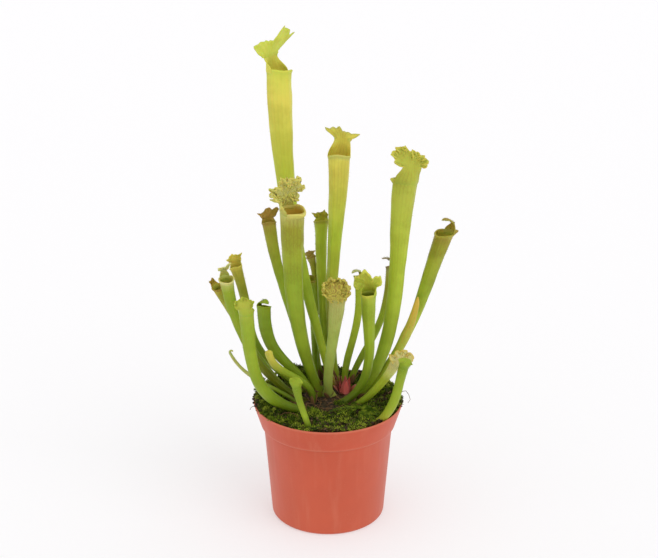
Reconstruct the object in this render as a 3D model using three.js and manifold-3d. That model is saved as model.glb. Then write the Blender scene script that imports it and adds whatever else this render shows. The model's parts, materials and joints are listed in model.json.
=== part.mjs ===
// A trumpet pitcher plant in a moulded plastic nursery pot.
// Millimetres, +Z up. The origin is the middle of the pot's flat underside, and the plant's
// front, the side with the short young leaf at the rim, looks along -Y.
import * as THREE from "three";
import { mergeVertices } from "three/addons/utils/BufferGeometryUtils.js";
import Module from "manifold-3d";

const wasm = await Module();
wasm.setup();

// ---- driving dimensions -------------------------------------------------------------------

const gap = 0.3; // between pieces that touch

const pot = {
  height: 99,
  rimRadius: 60,
  collarHeight: 19, // the flared band below the rim
  collarFootRadius: 54.4,
  bodyTopRadius: 52,
  baseRadius: 46,
  shoulder: 1.8, // height of the slope from the body out to the collar
  baseCorner: 3,
  wall: 1.2,
  floor: 1.6,
  drainHoles: 8,
  drainRadius: 3.5,
  drainCircle: 33,
  sides: 40,
};

const peatTop = 88;
const moss = {
  level: 96.5, // mean height of the moss, just under the rim
  lump: 1.3, // height of its cushions
  rings: 11,
  sides: 44,
};
// Cushions of moss and peat that stand higher than the rest: [x, y, radius, extra height].
const mounds = [
  [-55, 2, 13, 8],
  [-30, 46, 17, 9],
  [2, 52, 20, 5],
  [50, 8, 12, 5],
  [-2, -50, 18, 2],
  [22, -40, 16, 1.5],
];

const rhizome = {
  x: 1,
  y: 15,
  halfWidth: 29,
  halfDepth: 31,
  edgeTop: 95,
  crownTop: 97.5,
  rings: 4,
  sides: 24,
};

const leafFoot = 93; // height of the foot of each leaf's curve, in the crown
const rootStub = 3; // each leaf goes on this far below that foot
const socketReach = 0.5; // the share of a leaf's length that its hole in the moss follows
const keelShare = 0.22; // how far the wing along a pitcher stands out, as a share of its radius
const lip = { flare: 0.6, crest: 0.4, inside: 0.6, slope: 0.22 }; // slope lifts it at the back

const red = { x: 14, y: 17, foot: 92.5, radius: 4, height: 21 };

// ---- colours ------------------------------------------------------------------------------

const colours = {
  terracotta: 0xbe5a44,
  peat: 0x3b2a1e,
  moss: 0x4c6425,
  rhizome: 0x5a4026,
  lime: 0xb4c24e,
  green: 0x86a83a,
  olive: 0x8a8a36,
  brown: 0x8f7a30,
  ochre: 0xc0b455,
  pale: 0xaebe62,
  withered: 0xb9a04c,
  red: 0xad4a48,
};

function finish(name, roughness = 0.5) {
  return new THREE.MeshStandardMaterial({ color: colours[name], roughness, metalness: 0 });
}

// ---- the leaves ---------------------------------------------------------------------------
// Each leaf follows one cubic curve: its foot in the crown, two pulls and its mouth or tip.
// girth holds its radius at the foot, at a third, at two thirds, at the swell below the mouth
// and at the mouth. faces is the compass angle that the mouth opens to, from +X towards +Y.

const leaves = {
  pitcher_tallest: {
    foot: [5, 27], pulls: [[-17, 31, 184], [-39, 33, 238]], mouth: [-38, 38, 359],
    girth: [2.4, 4.4, 6, 9.9, 9.2], faces: -40, colour: "lime", form: "large",
    hood: { kind: "winged", rise: 33, span: 22, bend: 50, roll: 36 },
  },
  pitcher_tall_ochre: {
    foot: [8, 35], pulls: [[-4, 38, 159], [9, 42, 222]], mouth: [8, 46, 289],
    girth: [2.4, 3.6, 4.8, 7.4, 8.6], faces: -110, colour: "ochre", form: "large",
    hood: { kind: "winged", rise: 26, span: 17, bend: 60, roll: -6 },
  },
  pitcher_tall_right: {
    foot: [18, 8], pulls: [[64, 10, 132], [53, 13, 211]], mouth: [60, 16, 279],
    girth: [3, 4.5, 5.3, 9.2, 10.4], faces: 102, colour: "green", form: "large",
    hood: { kind: "frilled", rise: 28, span: 15.5, bend: 45, roll: -8 },
  },
  pitcher_frilled_left: {
    foot: [-5, 13], pulls: [[-28, 2, 156], [-28, -6, 197]], mouth: [-27, -18, 262],
    girth: [3.4, 5.6, 7.4, 9, 9.2], faces: -30, colour: "green", form: "large",
    hood: { kind: "frilled", rise: 31, span: 15, bend: 85, roll: 0 },
  },
  pitcher_front_ruffled: {
    foot: [0, 1], pulls: [[-3, -7, 126], [6, -15, 160]], mouth: [7, -24, 195],
    girth: [3.4, 3.8, 4.4, 6.2, 7], faces: 80, colour: "pale", form: "large",
    hood: { kind: "frilled", rise: 20, span: 11, bend: 95, roll: 0 },
  },
  pitcher_left_front: {
    foot: [-7, -9], pulls: [[-56, -36, 114], [-60, -30, 128]], mouth: [-62, -44, 194],
    girth: [3.2, 6, 4.4, 5.5, 5.8], faces: 50, colour: "lime", form: "large",
    hood: { kind: "frilled", rise: 15, span: 8.5, bend: 80, roll: 0 },
  },
  pitcher_right_middle: {
    foot: [8, 1], pulls: [[42, -4, 115], [31, -6, 148]], mouth: [32, -12, 190],
    girth: [2.6, 3.3, 3.6, 5, 5.5], faces: -140, colour: "green", form: "large",
    hood: { kind: "frilled", rise: 19, span: 8, bend: 105, roll: 0 },
  },
  pitcher_left_hooked: {
    foot: [-10, 8], pulls: [[-22, 1, 134], [-52, -1, 129]], mouth: [-50, -10, 183],
    girth: [2.4, 3.6, 5.1, 5.9, 5.9], faces: -15, colour: "olive", form: "large",
    hood: { kind: "hooked", rise: 15, span: 4, bend: 120, roll: 0 },
  },
  pitcher_brown_slim: {
    foot: [-9, 24], pulls: [[-22, 27, 142], [-41, 31, 188]], mouth: [-48, 34, 238],
    girth: [2.2, 3, 3.6, 5, 5.5], faces: -50, colour: "brown", form: "small",
    hood: { kind: "winged", rise: 14, span: 8.5, bend: 65, roll: 5 },
  },
  pitcher_left_upper: {
    foot: [-15, 20], pulls: [[-79, 22, 140], [-51, 22, 150]], mouth: [-74, 24, 208],
    girth: [2.2, 3.2, 3.2, 3.9, 5.1], faces: -20, colour: "olive", form: "small",
    hood: { kind: "winged", rise: 11, span: 7.5, bend: 60, roll: 15 },
  },
  pitcher_left_outer: {
    foot: [-16, 4], pulls: [[-54, -1, 124], [-73, -3, 152]], mouth: [-79, -8, 201],
    girth: [2.2, 3.2, 3.2, 4.9, 5.5], faces: -50, colour: "olive", form: "small",
    hood: { kind: "hooked", rise: 13, span: 3.4, bend: 70, roll: 0 },
  },
  pitcher_left_rear: {
    foot: [-22, 11], pulls: [[-55, 11, 117], [-74, 10, 156]], mouth: [-90, 10, 193],
    girth: [2, 2.4, 2.5, 3.7, 4], faces: -35, colour: "brown", form: "small",
    hood: { kind: "hooked", rise: 8, span: 3.4, bend: 60, roll: 0 },
  },
  pitcher_back_middle: {
    foot: [1, 35], pulls: [[-4, 42, 139], [-6, 50, 184]], mouth: [-5, 58, 230],
    girth: [2.4, 3.2, 4, 4.9, 6], faces: -95, colour: "green", form: "small",
    hood: { kind: "winged", rise: 13, span: 7.5, bend: 60, roll: 0 },
  },
  pitcher_back_brown: {
    foot: [-3, 41], pulls: [[-17, 47, 129], [-4, 53, 170]], mouth: [-14, 58, 202],
    girth: [2, 2.2, 2.4, 2.6, 3.6], faces: -80, colour: "brown", form: "small",
    hood: { kind: "winged", rise: 7, span: 5, bend: 60, roll: 0 },
  },
  pitcher_back_low: {
    foot: [-10, 34], pulls: [[-11, 37, 122], [-11, 41, 152]], mouth: [-13, 44, 182],
    girth: [2, 2.4, 2.8, 3.6, 4], faces: -90, colour: "brown", form: "small",
    hood: { kind: "winged", rise: 7, span: 5, bend: 65, roll: 0 },
  },
  pitcher_right_slim: {
    foot: [14, 27], pulls: [[11, 32, 127], [30, 35, 142]], mouth: [25, 42, 186],
    girth: [2.3, 2.9, 3, 3.3, 3.6], faces: -150, colour: "green", form: "small",
    hood: { kind: "hooked", rise: 11, span: 3.6, bend: 110, roll: 0 },
  },
  pitcher_right_rear: {
    foot: [17, 33], pulls: [[25, 41, 130], [47, 43, 135]], mouth: [49, 54, 192],
    girth: [2.2, 2.6, 2.9, 3.8, 4.4], faces: -165, colour: "olive", form: "small",
    hood: { kind: "hooked", rise: 14, span: 3.2, bend: 110, roll: 0 },
  },
  pitcher_right_outer: {
    foot: [23, 24], pulls: [[71, 27, 125], [76, 29, 179]], mouth: [93, 32, 229],
    girth: [2.4, 2.8, 4.6, 6.6, 7.1], faces: -140, colour: "green", form: "large",
    hood: { kind: "winged", rise: 15, span: 10, bend: 70, roll: -10 },
  },
  pitcher_withered: {
    foot: [19, -2], pulls: [[35, -7, 104], [46, -13, 123]], mouth: [55, -18, 140],
    girth: [2.4, 3, 3.2, 4.2, 4.8], faces: 150, colour: "withered", form: "small",
    hood: { kind: "winged", rise: 9, span: 8, bend: 110, roll: 10 },
  },
  pitcher_short_right: {
    foot: [38, -33], pulls: [[56, -35, 110], [54, -36, 131]], mouth: [61, -38, 150],
    girth: [2.8, 3.8, 3.5, 3.6, 4], faces: 135, colour: "green", form: "small",
    hood: { kind: "hooked", rise: 7, span: 4, bend: 90, roll: 0 },
  },
  pitcher_short_front: {
    foot: [-14, -47], pulls: [[-17, -47, 107], [-24, -46, 122]], mouth: [-24, -46, 136],
    girth: [2.2, 2.4, 2.6, 3.2, 3.6], faces: 60, colour: "lime", form: "small",
    hood: { kind: "hooked", rise: 5, span: 3.4, bend: 100, roll: 0 },
  },
  leaf_yellow_tip: {
    foot: [-12, -1], pulls: [[-8, -7, 125], [-43, -15, 123]], mouth: [-45, -20, 145],
    girth: [2, 2.6, 3.2, 3, 2.6], faces: 0, colour: "ochre", form: "closed",
  },
  leaf_withered_tip: {
    foot: [25, 16], pulls: [[48, 13, 116], [67, 9, 152]], mouth: [70, 6, 185],
    girth: [2.2, 2.8, 3.4, 2.2, 1], faces: 180, colour: "withered", form: "closed",
  },
  leaf_tendril: {
    foot: [-21, -2], pulls: [[-40, -7, 115], [-65, -11, 118]], mouth: [-77, -16, 147],
    girth: [1.5, 1.6, 1.4, 1.1, 0.9], faces: 0, colour: "green", form: "closed",
  },
};

// How finely each form is divided: places along the curve, sides round it, how thick its wall
// is and how far down, as a share of the curve, its hollow reaches.
const forms = {
  large: { steps: 10, sides: 9, wall: 1.1, hollowTo: 0.4 },
  small: { steps: 8, sides: 8, wall: 0.9, hollowTo: 0.6 },
  closed: { steps: 8, sides: 7 },
};
const hollowStep = 3; // a pitcher's hollow has one ring for this many of its outer rings

// The outline of each kind of hood, from its neck to its tip: half its width as a share of the
// span at equal steps; how far its sides roll back, in half turns; the height of the waves in
// its edge as a share of the span, and how many there are; its divisions along and across.
const hoodKinds = {
  winged: { outline: [0.42, 0.36, 0.36, 0.6, 1, 0.5, 0.25], roll: -0.1, wave: 0.08, waves: 2, across: 6 },
  frilled: { outline: [0.6, 0.55, 0.75, 1, 1, 0.8, 0.45], roll: -0.45, wave: 0.2, waves: 3, across: 6 },
  hooked: { outline: [0.85, 0.6, 0.5, 0.6, 0.9, 1, 0.6], roll: 0.1, wave: 0.05, waves: 1, across: 4 },
};
const hoodThickness = 0.8;
const hoodRows = 7;
const hoodRoot = 3; // how deep a hood's neck runs down inside the back wall of its pitcher
const neckShare = 0.45; // the share of a hood's length over which it leaves the tube's round
const neckSpread = 1.2; // the most a neck spreads to each side, as a share of the tube's radius

// ---- closed surfaces ----------------------------------------------------------------------

function solidOf(points, faces) {
  const vertProperties = new Float32Array(points.flatMap((p) => [p.x, p.y, p.z]));
  const triVerts = new Uint32Array(faces.flat());
  return new wasm.Manifold(new wasm.Mesh({ numProp: 3, vertProperties, triVerts }));
}

function solidOfGeometry(geometry) {
  const bare = geometry.clone();
  bare.deleteAttribute("normal");
  bare.deleteAttribute("uv");
  const merged = mergeVertices(bare, 1e-3);
  const vertProperties = merged.attributes.position.array;
  const triVerts = new Uint32Array(merged.index.array);
  return new wasm.Manifold(new wasm.Mesh({ numProp: 3, vertProperties, triVerts }));
}

function geometryOf(solid) {
  const mesh = solid.getMesh();
  const geometry = new THREE.BufferGeometry();
  geometry.setAttribute("position", new THREE.BufferAttribute(mesh.vertProperties, 3));
  geometry.setIndex(new THREE.BufferAttribute(mesh.triVerts, 1));
  geometry.computeVertexNormals();
  return geometry;
}

// A closed skin over a row of rings, each with the same number of points, turning
// anticlockwise about the way the row runs. Both ends are closed to their ring's middle.
function skinOver(rings) {
  const sides = rings[0].length;
  const points = rings.flat();
  const faces = [];
  for (let i = 0; i + 1 < rings.length; i++) {
    for (let k = 0; k < sides; k++) {
      const a = i * sides + k;
      const b = i * sides + ((k + 1) % sides);
      faces.push([a, b, b + sides], [a, b + sides, a + sides]);
    }
  }
  const firstMiddle = points.length;
  const lastMiddle = firstMiddle + 1;
  const lastRing = (rings.length - 1) * sides;
  points.push(middleOf(rings[0]), middleOf(rings[rings.length - 1]));
  for (let k = 0; k < sides; k++) {
    const next = (k + 1) % sides;
    faces.push([firstMiddle, next, k], [lastMiddle, lastRing + k, lastRing + next]);
  }
  return solidOf(points, faces);
}

function middleOf(ring) {
  const sum = ring.reduce((total, p) => total.add(p), new THREE.Vector3());
  return sum.divideScalar(ring.length);
}

// A blade from a grid of points, thickened to both sides. Both faces are split alike.
function bladeOver(grid, thickness) {
  const rows = grid.length;
  const columns = grid[0].length;
  const upper = [];
  const lower = [];
  for (let i = 0; i < rows; i++) {
    for (let j = 0; j < columns; j++) {
      const along = grid[Math.min(i + 1, rows - 1)][j].clone().sub(grid[Math.max(i - 1, 0)][j]);
      const across = grid[i][Math.min(j + 1, columns - 1)].clone();
      across.sub(grid[i][Math.max(j - 1, 0)]);
      const normal = across.cross(along).normalize().multiplyScalar(thickness / 2);
      upper.push(grid[i][j].clone().add(normal));
      lower.push(grid[i][j].clone().sub(normal));
    }
  }
  const faces = [];
  const under = rows * columns;
  for (let i = 0; i + 1 < rows; i++) {
    for (let j = 0; j + 1 < columns; j++) {
      const a = i * columns + j;
      const b = a + 1;
      const c = b + columns;
      const d = a + columns;
      faces.push([a, b, c], [a, c, d]);
      faces.push([under + a, under + c, under + b], [under + a, under + d, under + c]);
    }
  }
  const edge = [];
  for (let j = 0; j + 1 < columns; j++) edge.push(j);
  for (let i = 0; i + 1 < rows; i++) edge.push(i * columns + columns - 1);
  for (let j = columns - 1; j > 0; j--) edge.push((rows - 1) * columns + j);
  for (let i = rows - 1; i > 0; i--) edge.push(i * columns);
  edge.forEach((a, i) => {
    const b = edge[(i + 1) % edge.length];
    faces.push([a, under + a, under + b], [a, under + b, b]);
  });
  return solidOf([...upper, ...lower], faces);
}

// ---- pitchers -----------------------------------------------------------------------------

function curveOf(leaf) {
  const [x, y] = leaf.foot;
  const foot = new THREE.Vector3(x, y, leafFoot);
  const pulls = leaf.pulls.map((p) => new THREE.Vector3(...p));
  return new THREE.CubicBezierCurve3(foot, ...pulls, new THREE.Vector3(...leaf.mouth));
}

// The value of a row of numbers at a share of its length, with straight stretches between.
function along(values, stations, share) {
  let i = 0;
  while (i + 2 < stations.length && share > stations[i + 1]) i++;
  const part = (share - stations[i]) / (stations[i + 1] - stations[i]);
  return values[i] + (values[i + 1] - values[i]) * THREE.MathUtils.clamp(part, 0, 1);
}

const girthStations = [0, 1 / 3, 2 / 3, 0.94, 1];

function radiusAt(leaf, share) {
  return along(leaf.girth, girthStations, share);
}

// Places along a leaf from foot to mouth, each with its middle, its direction and the two
// directions across it: front, the side that faces the crown, and side.
function framesOf(leaf, steps) {
  const curve = curveOf(leaf);
  const angle = THREE.MathUtils.degToRad(leaf.faces);
  const frames = [];
  let front = new THREE.Vector3(Math.cos(angle), Math.sin(angle), 0);
  for (let i = steps; i >= 0; i--) {
    const share = i / steps;
    const way = curve.getTangent(share);
    front = front.clone().addScaledVector(way, -front.dot(way)).normalize();
    const side = way.clone().cross(front);
    frames.unshift({ share, middle: curve.getPoint(share), way, front, side });
  }
  return frames;
}

// One ring across a leaf; its first point is pushed out into the wing that runs up the front.
function ringAt(frame, radius, sides, keel = 0, lift = 0, slope = 0) {
  const ring = [];
  for (let k = 0; k < sides; k++) {
    const turn = (2 * Math.PI * k) / sides;
    const reach = radius * (k === 0 ? 1 + keel : 1);
    const point = frame.middle.clone();
    point.addScaledVector(frame.front, reach * Math.cos(turn));
    point.addScaledVector(frame.side, reach * Math.sin(turn));
    point.addScaledVector(frame.way, lift - slope * radius * Math.cos(turn));
    ring.push(point);
  }
  return ring;
}

function rootRing(leaf, frame, grow, sides) {
  const sunk = { ...frame, middle: frame.middle.clone().addScaledVector(frame.way, -rootStub) };
  return ringAt(sunk, radiusAt(leaf, 0) + grow, sides, keelShare);
}

// The outer skin of a leaf's tube, from its root up to its mouth or tip.
function outerRings(leaf) {
  const { steps, sides } = forms[leaf.form];
  const frames = framesOf(leaf, steps);
  const rings = [rootRing(leaf, frames[0], 0, sides)];
  for (const frame of frames) {
    const fade = leaf.form === "closed" ? 0.5 : 1 - frame.share ** 4;
    rings.push(ringAt(frame, radiusAt(leaf, frame.share), sides, keelShare * fade));
  }
  return rings;
}

// The plain hole that a leaf stands in: its lower stretch with the gap all round, six-sided.
function socketSolid(leaf) {
  const sides = 6;
  const frames = framesOf(leaf, forms[leaf.form].steps);
  const wider = (radius) => (radius + gap) / Math.cos(Math.PI / sides) - radius;
  const rings = [rootRing(leaf, frames[0], wider(radiusAt(leaf, 0)), sides)];
  for (const frame of frames) {
    if (frame.share > socketReach) break;
    const radius = radiusAt(leaf, frame.share);
    rings.push(ringAt(frame, radius + wider(radius), sides, keelShare));
  }
  return skinOver(rings);
}

function pitcherSolid(leaf) {
  const { steps, sides, wall, hollowTo } = forms[leaf.form];
  const frames = framesOf(leaf, steps);
  const rings = outerRings(leaf);
  const top = frames[steps];
  const radius = radiusAt(leaf, 1);
  rings.pop();
  rings.push(ringAt(top, radius + lip.flare, sides, 0, 0, lip.slope));
  rings.push(ringAt(top, radius - wall / 2, sides, 0, lip.crest, lip.slope));
  rings.push(ringAt(top, radius - wall, sides, 0, -lip.inside, lip.slope));
  for (let i = steps - 1; frames[i].share >= hollowTo; i -= hollowStep) {
    rings.push(ringAt(frames[i], radiusAt(leaf, frames[i].share) - wall, sides));
  }
  return skinOver(rings).add(hoodSolid(leaf, top, radius - wall / 2));
}

// A hood rises from the back of the mouth and bends forward over it. Its neck follows the round
// of the tube, and its sides open out, roll back and wave more towards the edge.
function hoodSolid(leaf, frame, radius) {
  const { kind, rise, span, bend, roll } = leaf.hood;
  const shape = hoodKinds[kind];
  const length = rise + hoodRoot;
  const stations = shape.outline.map((_, i) => i / (shape.outline.length - 1));
  const centre = frame.middle.clone().addScaledVector(frame.front, -radius);
  centre.addScaledVector(frame.way, -hoodRoot);
  const grid = [];
  for (let i = 0; i <= hoodRows; i++) {
    const share = i / hoodRows;
    const tilt = THREE.MathUtils.degToRad(bend) * share * share;
    const forward = frame.way.clone().multiplyScalar(Math.cos(tilt));
    forward.addScaledVector(frame.front, Math.sin(tilt));
    if (i > 0) centre.addScaledVector(forward, length / hoodRows);
    const twist = THREE.MathUtils.degToRad(roll) * share;
    const side = frame.side.clone().multiplyScalar(Math.cos(twist));
    side.addScaledVector(frame.way, Math.sin(twist));
    const inward = forward.clone().cross(side).normalize().negate();
    const half = along(shape.outline, stations, share) * span;
    const neck = Math.max(0, 1 - share / neckShare); // how much the round of the tube holds
    const bow = neck / radius + ((1 - neck) * shape.roll * Math.PI) / span;
    const row = [];
    for (let j = 0; j <= shape.across; j++) {
      const place = (2 * j) / shape.across - 1;
      const reach = Math.min(half, radius * neckSpread + half * (1 - neck)) * place;
      const turn = bow * reach;
      const out = Math.sin(turn) / bow;
      const dip = (1 - Math.cos(turn)) / bow;
      const wave = shape.wave * span * (1 - neck) * place * place;
      const point = centre.clone().addScaledVector(side, out).addScaledVector(inward, dip);
      point.addScaledVector(inward, wave * Math.sin(Math.PI * shape.waves * 2 * share + place));
      row.push(point);
    }
    grid.push(row);
  }
  return bladeOver(grid, hoodThickness);
}

function leafMesh(name, leaf) {
  const solid = leaf.form === "closed" ? skinOver(outerRings(leaf)) : pitcherSolid(leaf);
  return meshOf(name, solid, finish(leaf.colour));
}

function meshOf(name, solid, material) {
  const mesh = new THREE.Mesh(geometryOf(solid), material);
  mesh.name = name;
  return mesh;
}

// ---- the pot ------------------------------------------------------------------------------

// A turned solid about Z from [radius, height] points that start and end on the axis.
function turned(profile, sides) {
  const points = profile.map(([radius, height]) => new THREE.Vector2(radius, height));
  const geometry = new THREE.LatheGeometry(points, sides);
  geometry.rotateX(Math.PI / 2);
  return solidOfGeometry(geometry);
}

function innerRadiusAt(height) {
  const shoulderTop = pot.height - pot.collarHeight;
  if (height < shoulderTop) {
    const share = height / (shoulderTop - pot.shoulder);
    return THREE.MathUtils.lerp(pot.baseRadius, pot.bodyTopRadius, share) - pot.wall;
  }
  const share = (height - shoulderTop) / pot.collarHeight;
  return THREE.MathUtils.lerp(pot.collarFootRadius, pot.rimRadius, share) - pot.wall;
}

function potSolid() {
  const shoulderTop = pot.height - pot.collarHeight;
  const shoulderFoot = shoulderTop - pot.shoulder;
  const corner = pot.baseCorner;
  const profile = [[0, 0], [pot.baseRadius - corner, 0]];
  for (let i = 1; i <= 3; i++) {
    const turn = (Math.PI / 2) * (i / 3);
    const radius = pot.baseRadius - corner + corner * Math.sin(turn);
    profile.push([radius, corner - corner * Math.cos(turn)]);
  }
  profile.push(
    [pot.bodyTopRadius, shoulderFoot],
    [pot.collarFootRadius, shoulderTop],
    [pot.rimRadius, pot.height - 1],
    [pot.rimRadius - 0.3, pot.height],
    [pot.rimRadius - pot.wall, pot.height],
    [innerRadiusAt(shoulderTop), shoulderTop + 0.5],
    [pot.bodyTopRadius - pot.wall, shoulderFoot + 0.5],
    [pot.baseRadius - pot.wall, corner],
    [pot.baseRadius - corner, pot.floor],
    [0, pot.floor],
  );
  let solid = turned(profile, pot.sides);
  for (let i = 0; i < pot.drainHoles; i++) {
    const turn = (2 * Math.PI * i) / pot.drainHoles;
    const drill = new THREE.CylinderGeometry(pot.drainRadius, pot.drainRadius, 3 * pot.floor, 12);
    drill.rotateX(Math.PI / 2);
    drill.translate(pot.drainCircle * Math.cos(turn), pot.drainCircle * Math.sin(turn), pot.floor / 2);
    solid = solid.subtract(solidOfGeometry(drill));
  }
  return solid;
}

function peatSolid() {
  const shoulderTop = pot.height - pot.collarHeight;
  const profile = [
    [0, pot.floor + gap],
    [pot.baseRadius - pot.baseCorner - gap, pot.floor + gap],
    [pot.baseRadius - pot.wall - gap, pot.baseCorner + gap],
    [pot.bodyTopRadius - pot.wall - gap, shoulderTop - pot.shoulder + 0.5],
    [innerRadiusAt(shoulderTop) - gap, shoulderTop + 0.8],
    [innerRadiusAt(peatTop) - gap, peatTop],
    [0, peatTop],
  ];
  return turned(profile, pot.sides);
}

// ---- moss, rhizome and bud ----------------------------------------------------------------

// A gentle lumpy relief of a few crossed waves, between about -1 and 1.
function lumps(x, y) {
  const first = Math.sin(x * 0.31 + 1.3) * Math.cos(y * 0.27 - 0.4);
  const second = Math.sin(x * 0.13 - y * 0.19 + 2.1);
  const third = Math.sin(x * 0.52 + y * 0.44) * Math.sin(y * 0.61 - x * 0.2 + 0.7);
  return 0.45 * first + 0.3 * second + 0.35 * third;
}

function mossHeight(x, y) {
  let height = moss.level + moss.lump * lumps(x, y);
  for (const [cx, cy, radius, rise] of mounds) {
    const away = Math.hypot(x - cx, y - cy) / radius;
    if (away < 1) height += rise * (1 - away * away) ** 2;
  }
  return height;
}

// A disc with a top of given heights: rings from the middle out, then the rim of its flat foot.
function cushionSolid(middle, radii, sides, topAt, foot, footShare) {
  const rings = [];
  const ringOf = (share, heightAt) => {
    const ring = [];
    for (let k = 0; k < sides; k++) {
      const turn = (2 * Math.PI * k) / sides;
      const x = middle[0] + radii[0] * share * Math.cos(turn);
      const y = middle[1] + radii[1] * share * Math.sin(turn);
      ring.push(new THREE.Vector3(x, y, heightAt(x, y, share)));
    }
    return ring;
  };
  rings.push(ringOf(footShare, () => foot));
  for (let i = topAt.rings; i >= 1; i--) {
    rings.push(ringOf(i / topAt.rings, topAt.height));
  }
  return skinOver(rings);
}

function mossSolid(neighbours) {
  const outer = innerRadiusAt(moss.level - 4) - gap;
  const foot = peatTop + gap;
  const top = { rings: moss.rings, height: mossHeight };
  const footShare = (innerRadiusAt(foot) - gap) / outer;
  const whole = cushionSolid([0, 0], [outer, outer], moss.sides, top, foot, footShare);
  return neighbours.reduce((solid, other) => solid.subtract(other), whole);
}

function rhizomeHeight(x, y, share) {
  const { edgeTop, crownTop } = rhizome;
  const knobs = 0.7 * Math.sin(x * 0.9 + 0.5) * Math.sin(y * 0.8 - 0.3);
  return edgeTop + (crownTop - edgeTop) * (1 - share ** 3) + knobs * (1 - share);
}

function rhizomeSolid(feet, grow = 0) {
  const radii = [rhizome.halfWidth + grow, rhizome.halfDepth + grow];
  const raised = (x, y, share) => (grow ? pot.height + 20 : rhizomeHeight(x, y, share));
  const top = { rings: rhizome.rings, height: raised };
  const foot = grow ? peatTop - 1 : peatTop + gap;
  const whole = cushionSolid([rhizome.x, rhizome.y], radii, rhizome.sides, top, foot, 1);
  return feet.reduce((solid, other) => solid.subtract(other), whole);
}

function budSolid(grow = 0) {
  const { foot, radius, height } = red;
  const outline = [[0, 0], [0.55, 0], [0.8, 0.15], [1, 0.42], [0.85, 0.66], [0.45, 0.88], [0, 1]];
  const profile = outline.map(([across, up]) => {
    return [across * (radius + grow), foot - grow + up * (height + 2 * grow)];
  });
  return turned(profile, 10).translate([red.x, red.y, 0]);
}

// ---- the plant ----------------------------------------------------------------------------

const plant = new THREE.Group();
const sockets = Object.values(leaves).map(socketSolid);
sockets.push(budSolid(gap));

plant.add(meshOf("pot", potSolid(), finish("terracotta", 0.45)));
plant.add(meshOf("peat_plug", peatSolid(), finish("peat", 0.95)));
plant.add(meshOf("moss_carpet", mossSolid([rhizomeSolid([], gap), ...sockets]), finish("moss", 0.9)));
plant.add(meshOf("rhizome", rhizomeSolid(sockets), finish("rhizome", 0.8)));
plant.add(meshOf("bud_red", budSolid(), finish("red", 0.5)));
for (const [name, leaf] of Object.entries(leaves)) plant.add(leafMesh(name, leaf));

export default plant;
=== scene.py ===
import json
import math
import random

import bmesh
import bpy
from mathutils import Matrix, Vector, noise

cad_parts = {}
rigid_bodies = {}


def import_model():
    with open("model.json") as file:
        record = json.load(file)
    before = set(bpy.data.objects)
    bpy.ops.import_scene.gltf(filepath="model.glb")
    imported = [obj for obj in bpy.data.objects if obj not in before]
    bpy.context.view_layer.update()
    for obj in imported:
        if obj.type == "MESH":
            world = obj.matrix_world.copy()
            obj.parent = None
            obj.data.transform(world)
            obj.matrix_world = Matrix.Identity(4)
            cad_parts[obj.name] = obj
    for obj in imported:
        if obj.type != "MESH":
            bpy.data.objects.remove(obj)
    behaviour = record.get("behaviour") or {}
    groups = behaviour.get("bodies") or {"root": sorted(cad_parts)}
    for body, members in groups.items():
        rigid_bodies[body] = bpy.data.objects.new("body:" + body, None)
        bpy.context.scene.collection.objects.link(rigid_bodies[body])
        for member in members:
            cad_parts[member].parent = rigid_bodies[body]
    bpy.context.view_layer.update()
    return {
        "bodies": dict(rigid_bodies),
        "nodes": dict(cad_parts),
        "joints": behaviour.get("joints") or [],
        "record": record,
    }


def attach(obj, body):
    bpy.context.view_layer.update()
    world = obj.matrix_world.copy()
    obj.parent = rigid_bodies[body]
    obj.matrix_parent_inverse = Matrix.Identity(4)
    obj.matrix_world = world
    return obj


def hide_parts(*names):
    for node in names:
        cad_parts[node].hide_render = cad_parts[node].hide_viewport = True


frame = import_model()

# Shapes are worked out in millimetres and scaled once, in finishPiece.
metresPerMm = 0.001
weldDistance = 0.001
seatGap = 0.3  # between pieces that touch
fullTurn = 2 * math.pi
scene = bpy.context.scene
scene.view_settings.view_transform = "Standard"


def addObject(name, data):
    made = bpy.data.objects.new(name, data)
    scene.collection.objects.link(made)
    return made


def meshFrom(shape, name):
    mesh = bpy.data.meshes.new(name)
    shape.to_mesh(mesh)
    shape.free()
    return mesh


# The camera stands where the photo was taken from.
camera = {"back": 1.1, "height": 0.6294, "tilt": 0.3698, "lens": 82.5, "sensor": 36,
          "shift": 0.0015}


def placeCamera():
    data = bpy.data.cameras.new("viewCamera")
    data.sensor_width = camera["sensor"]
    data.lens = camera["lens"]
    data.shift_x = camera["shift"]
    scene.camera = addObject("viewCamera", data)
    scene.camera.location = (0, -camera["back"], camera["height"])
    scene.camera.rotation_euler = (math.pi / 2 - camera["tilt"], 0, 0)


# Soft studio light: a bright room and two broad soft lamps. The floor glows, so that the pot
# tints it less. Each lamp: name, where it stands, its strength and its breadth in degrees.
studio = {
    "roomLight": 0.86, "floorSize": 80, "floorColour": (0.582, 0.57618, 0.58491, 1),
    "floorRoughness": 0.95, "glowColour": (1, 0.993, 1, 1), "glow": 0.385,
    "lamps": [("rightLamp", (0.9, -0.8, 1.2), 0.56, 45), ("leftLamp", (-0.9, -0.8, 1.1), 0.18, 60)],
}


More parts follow.
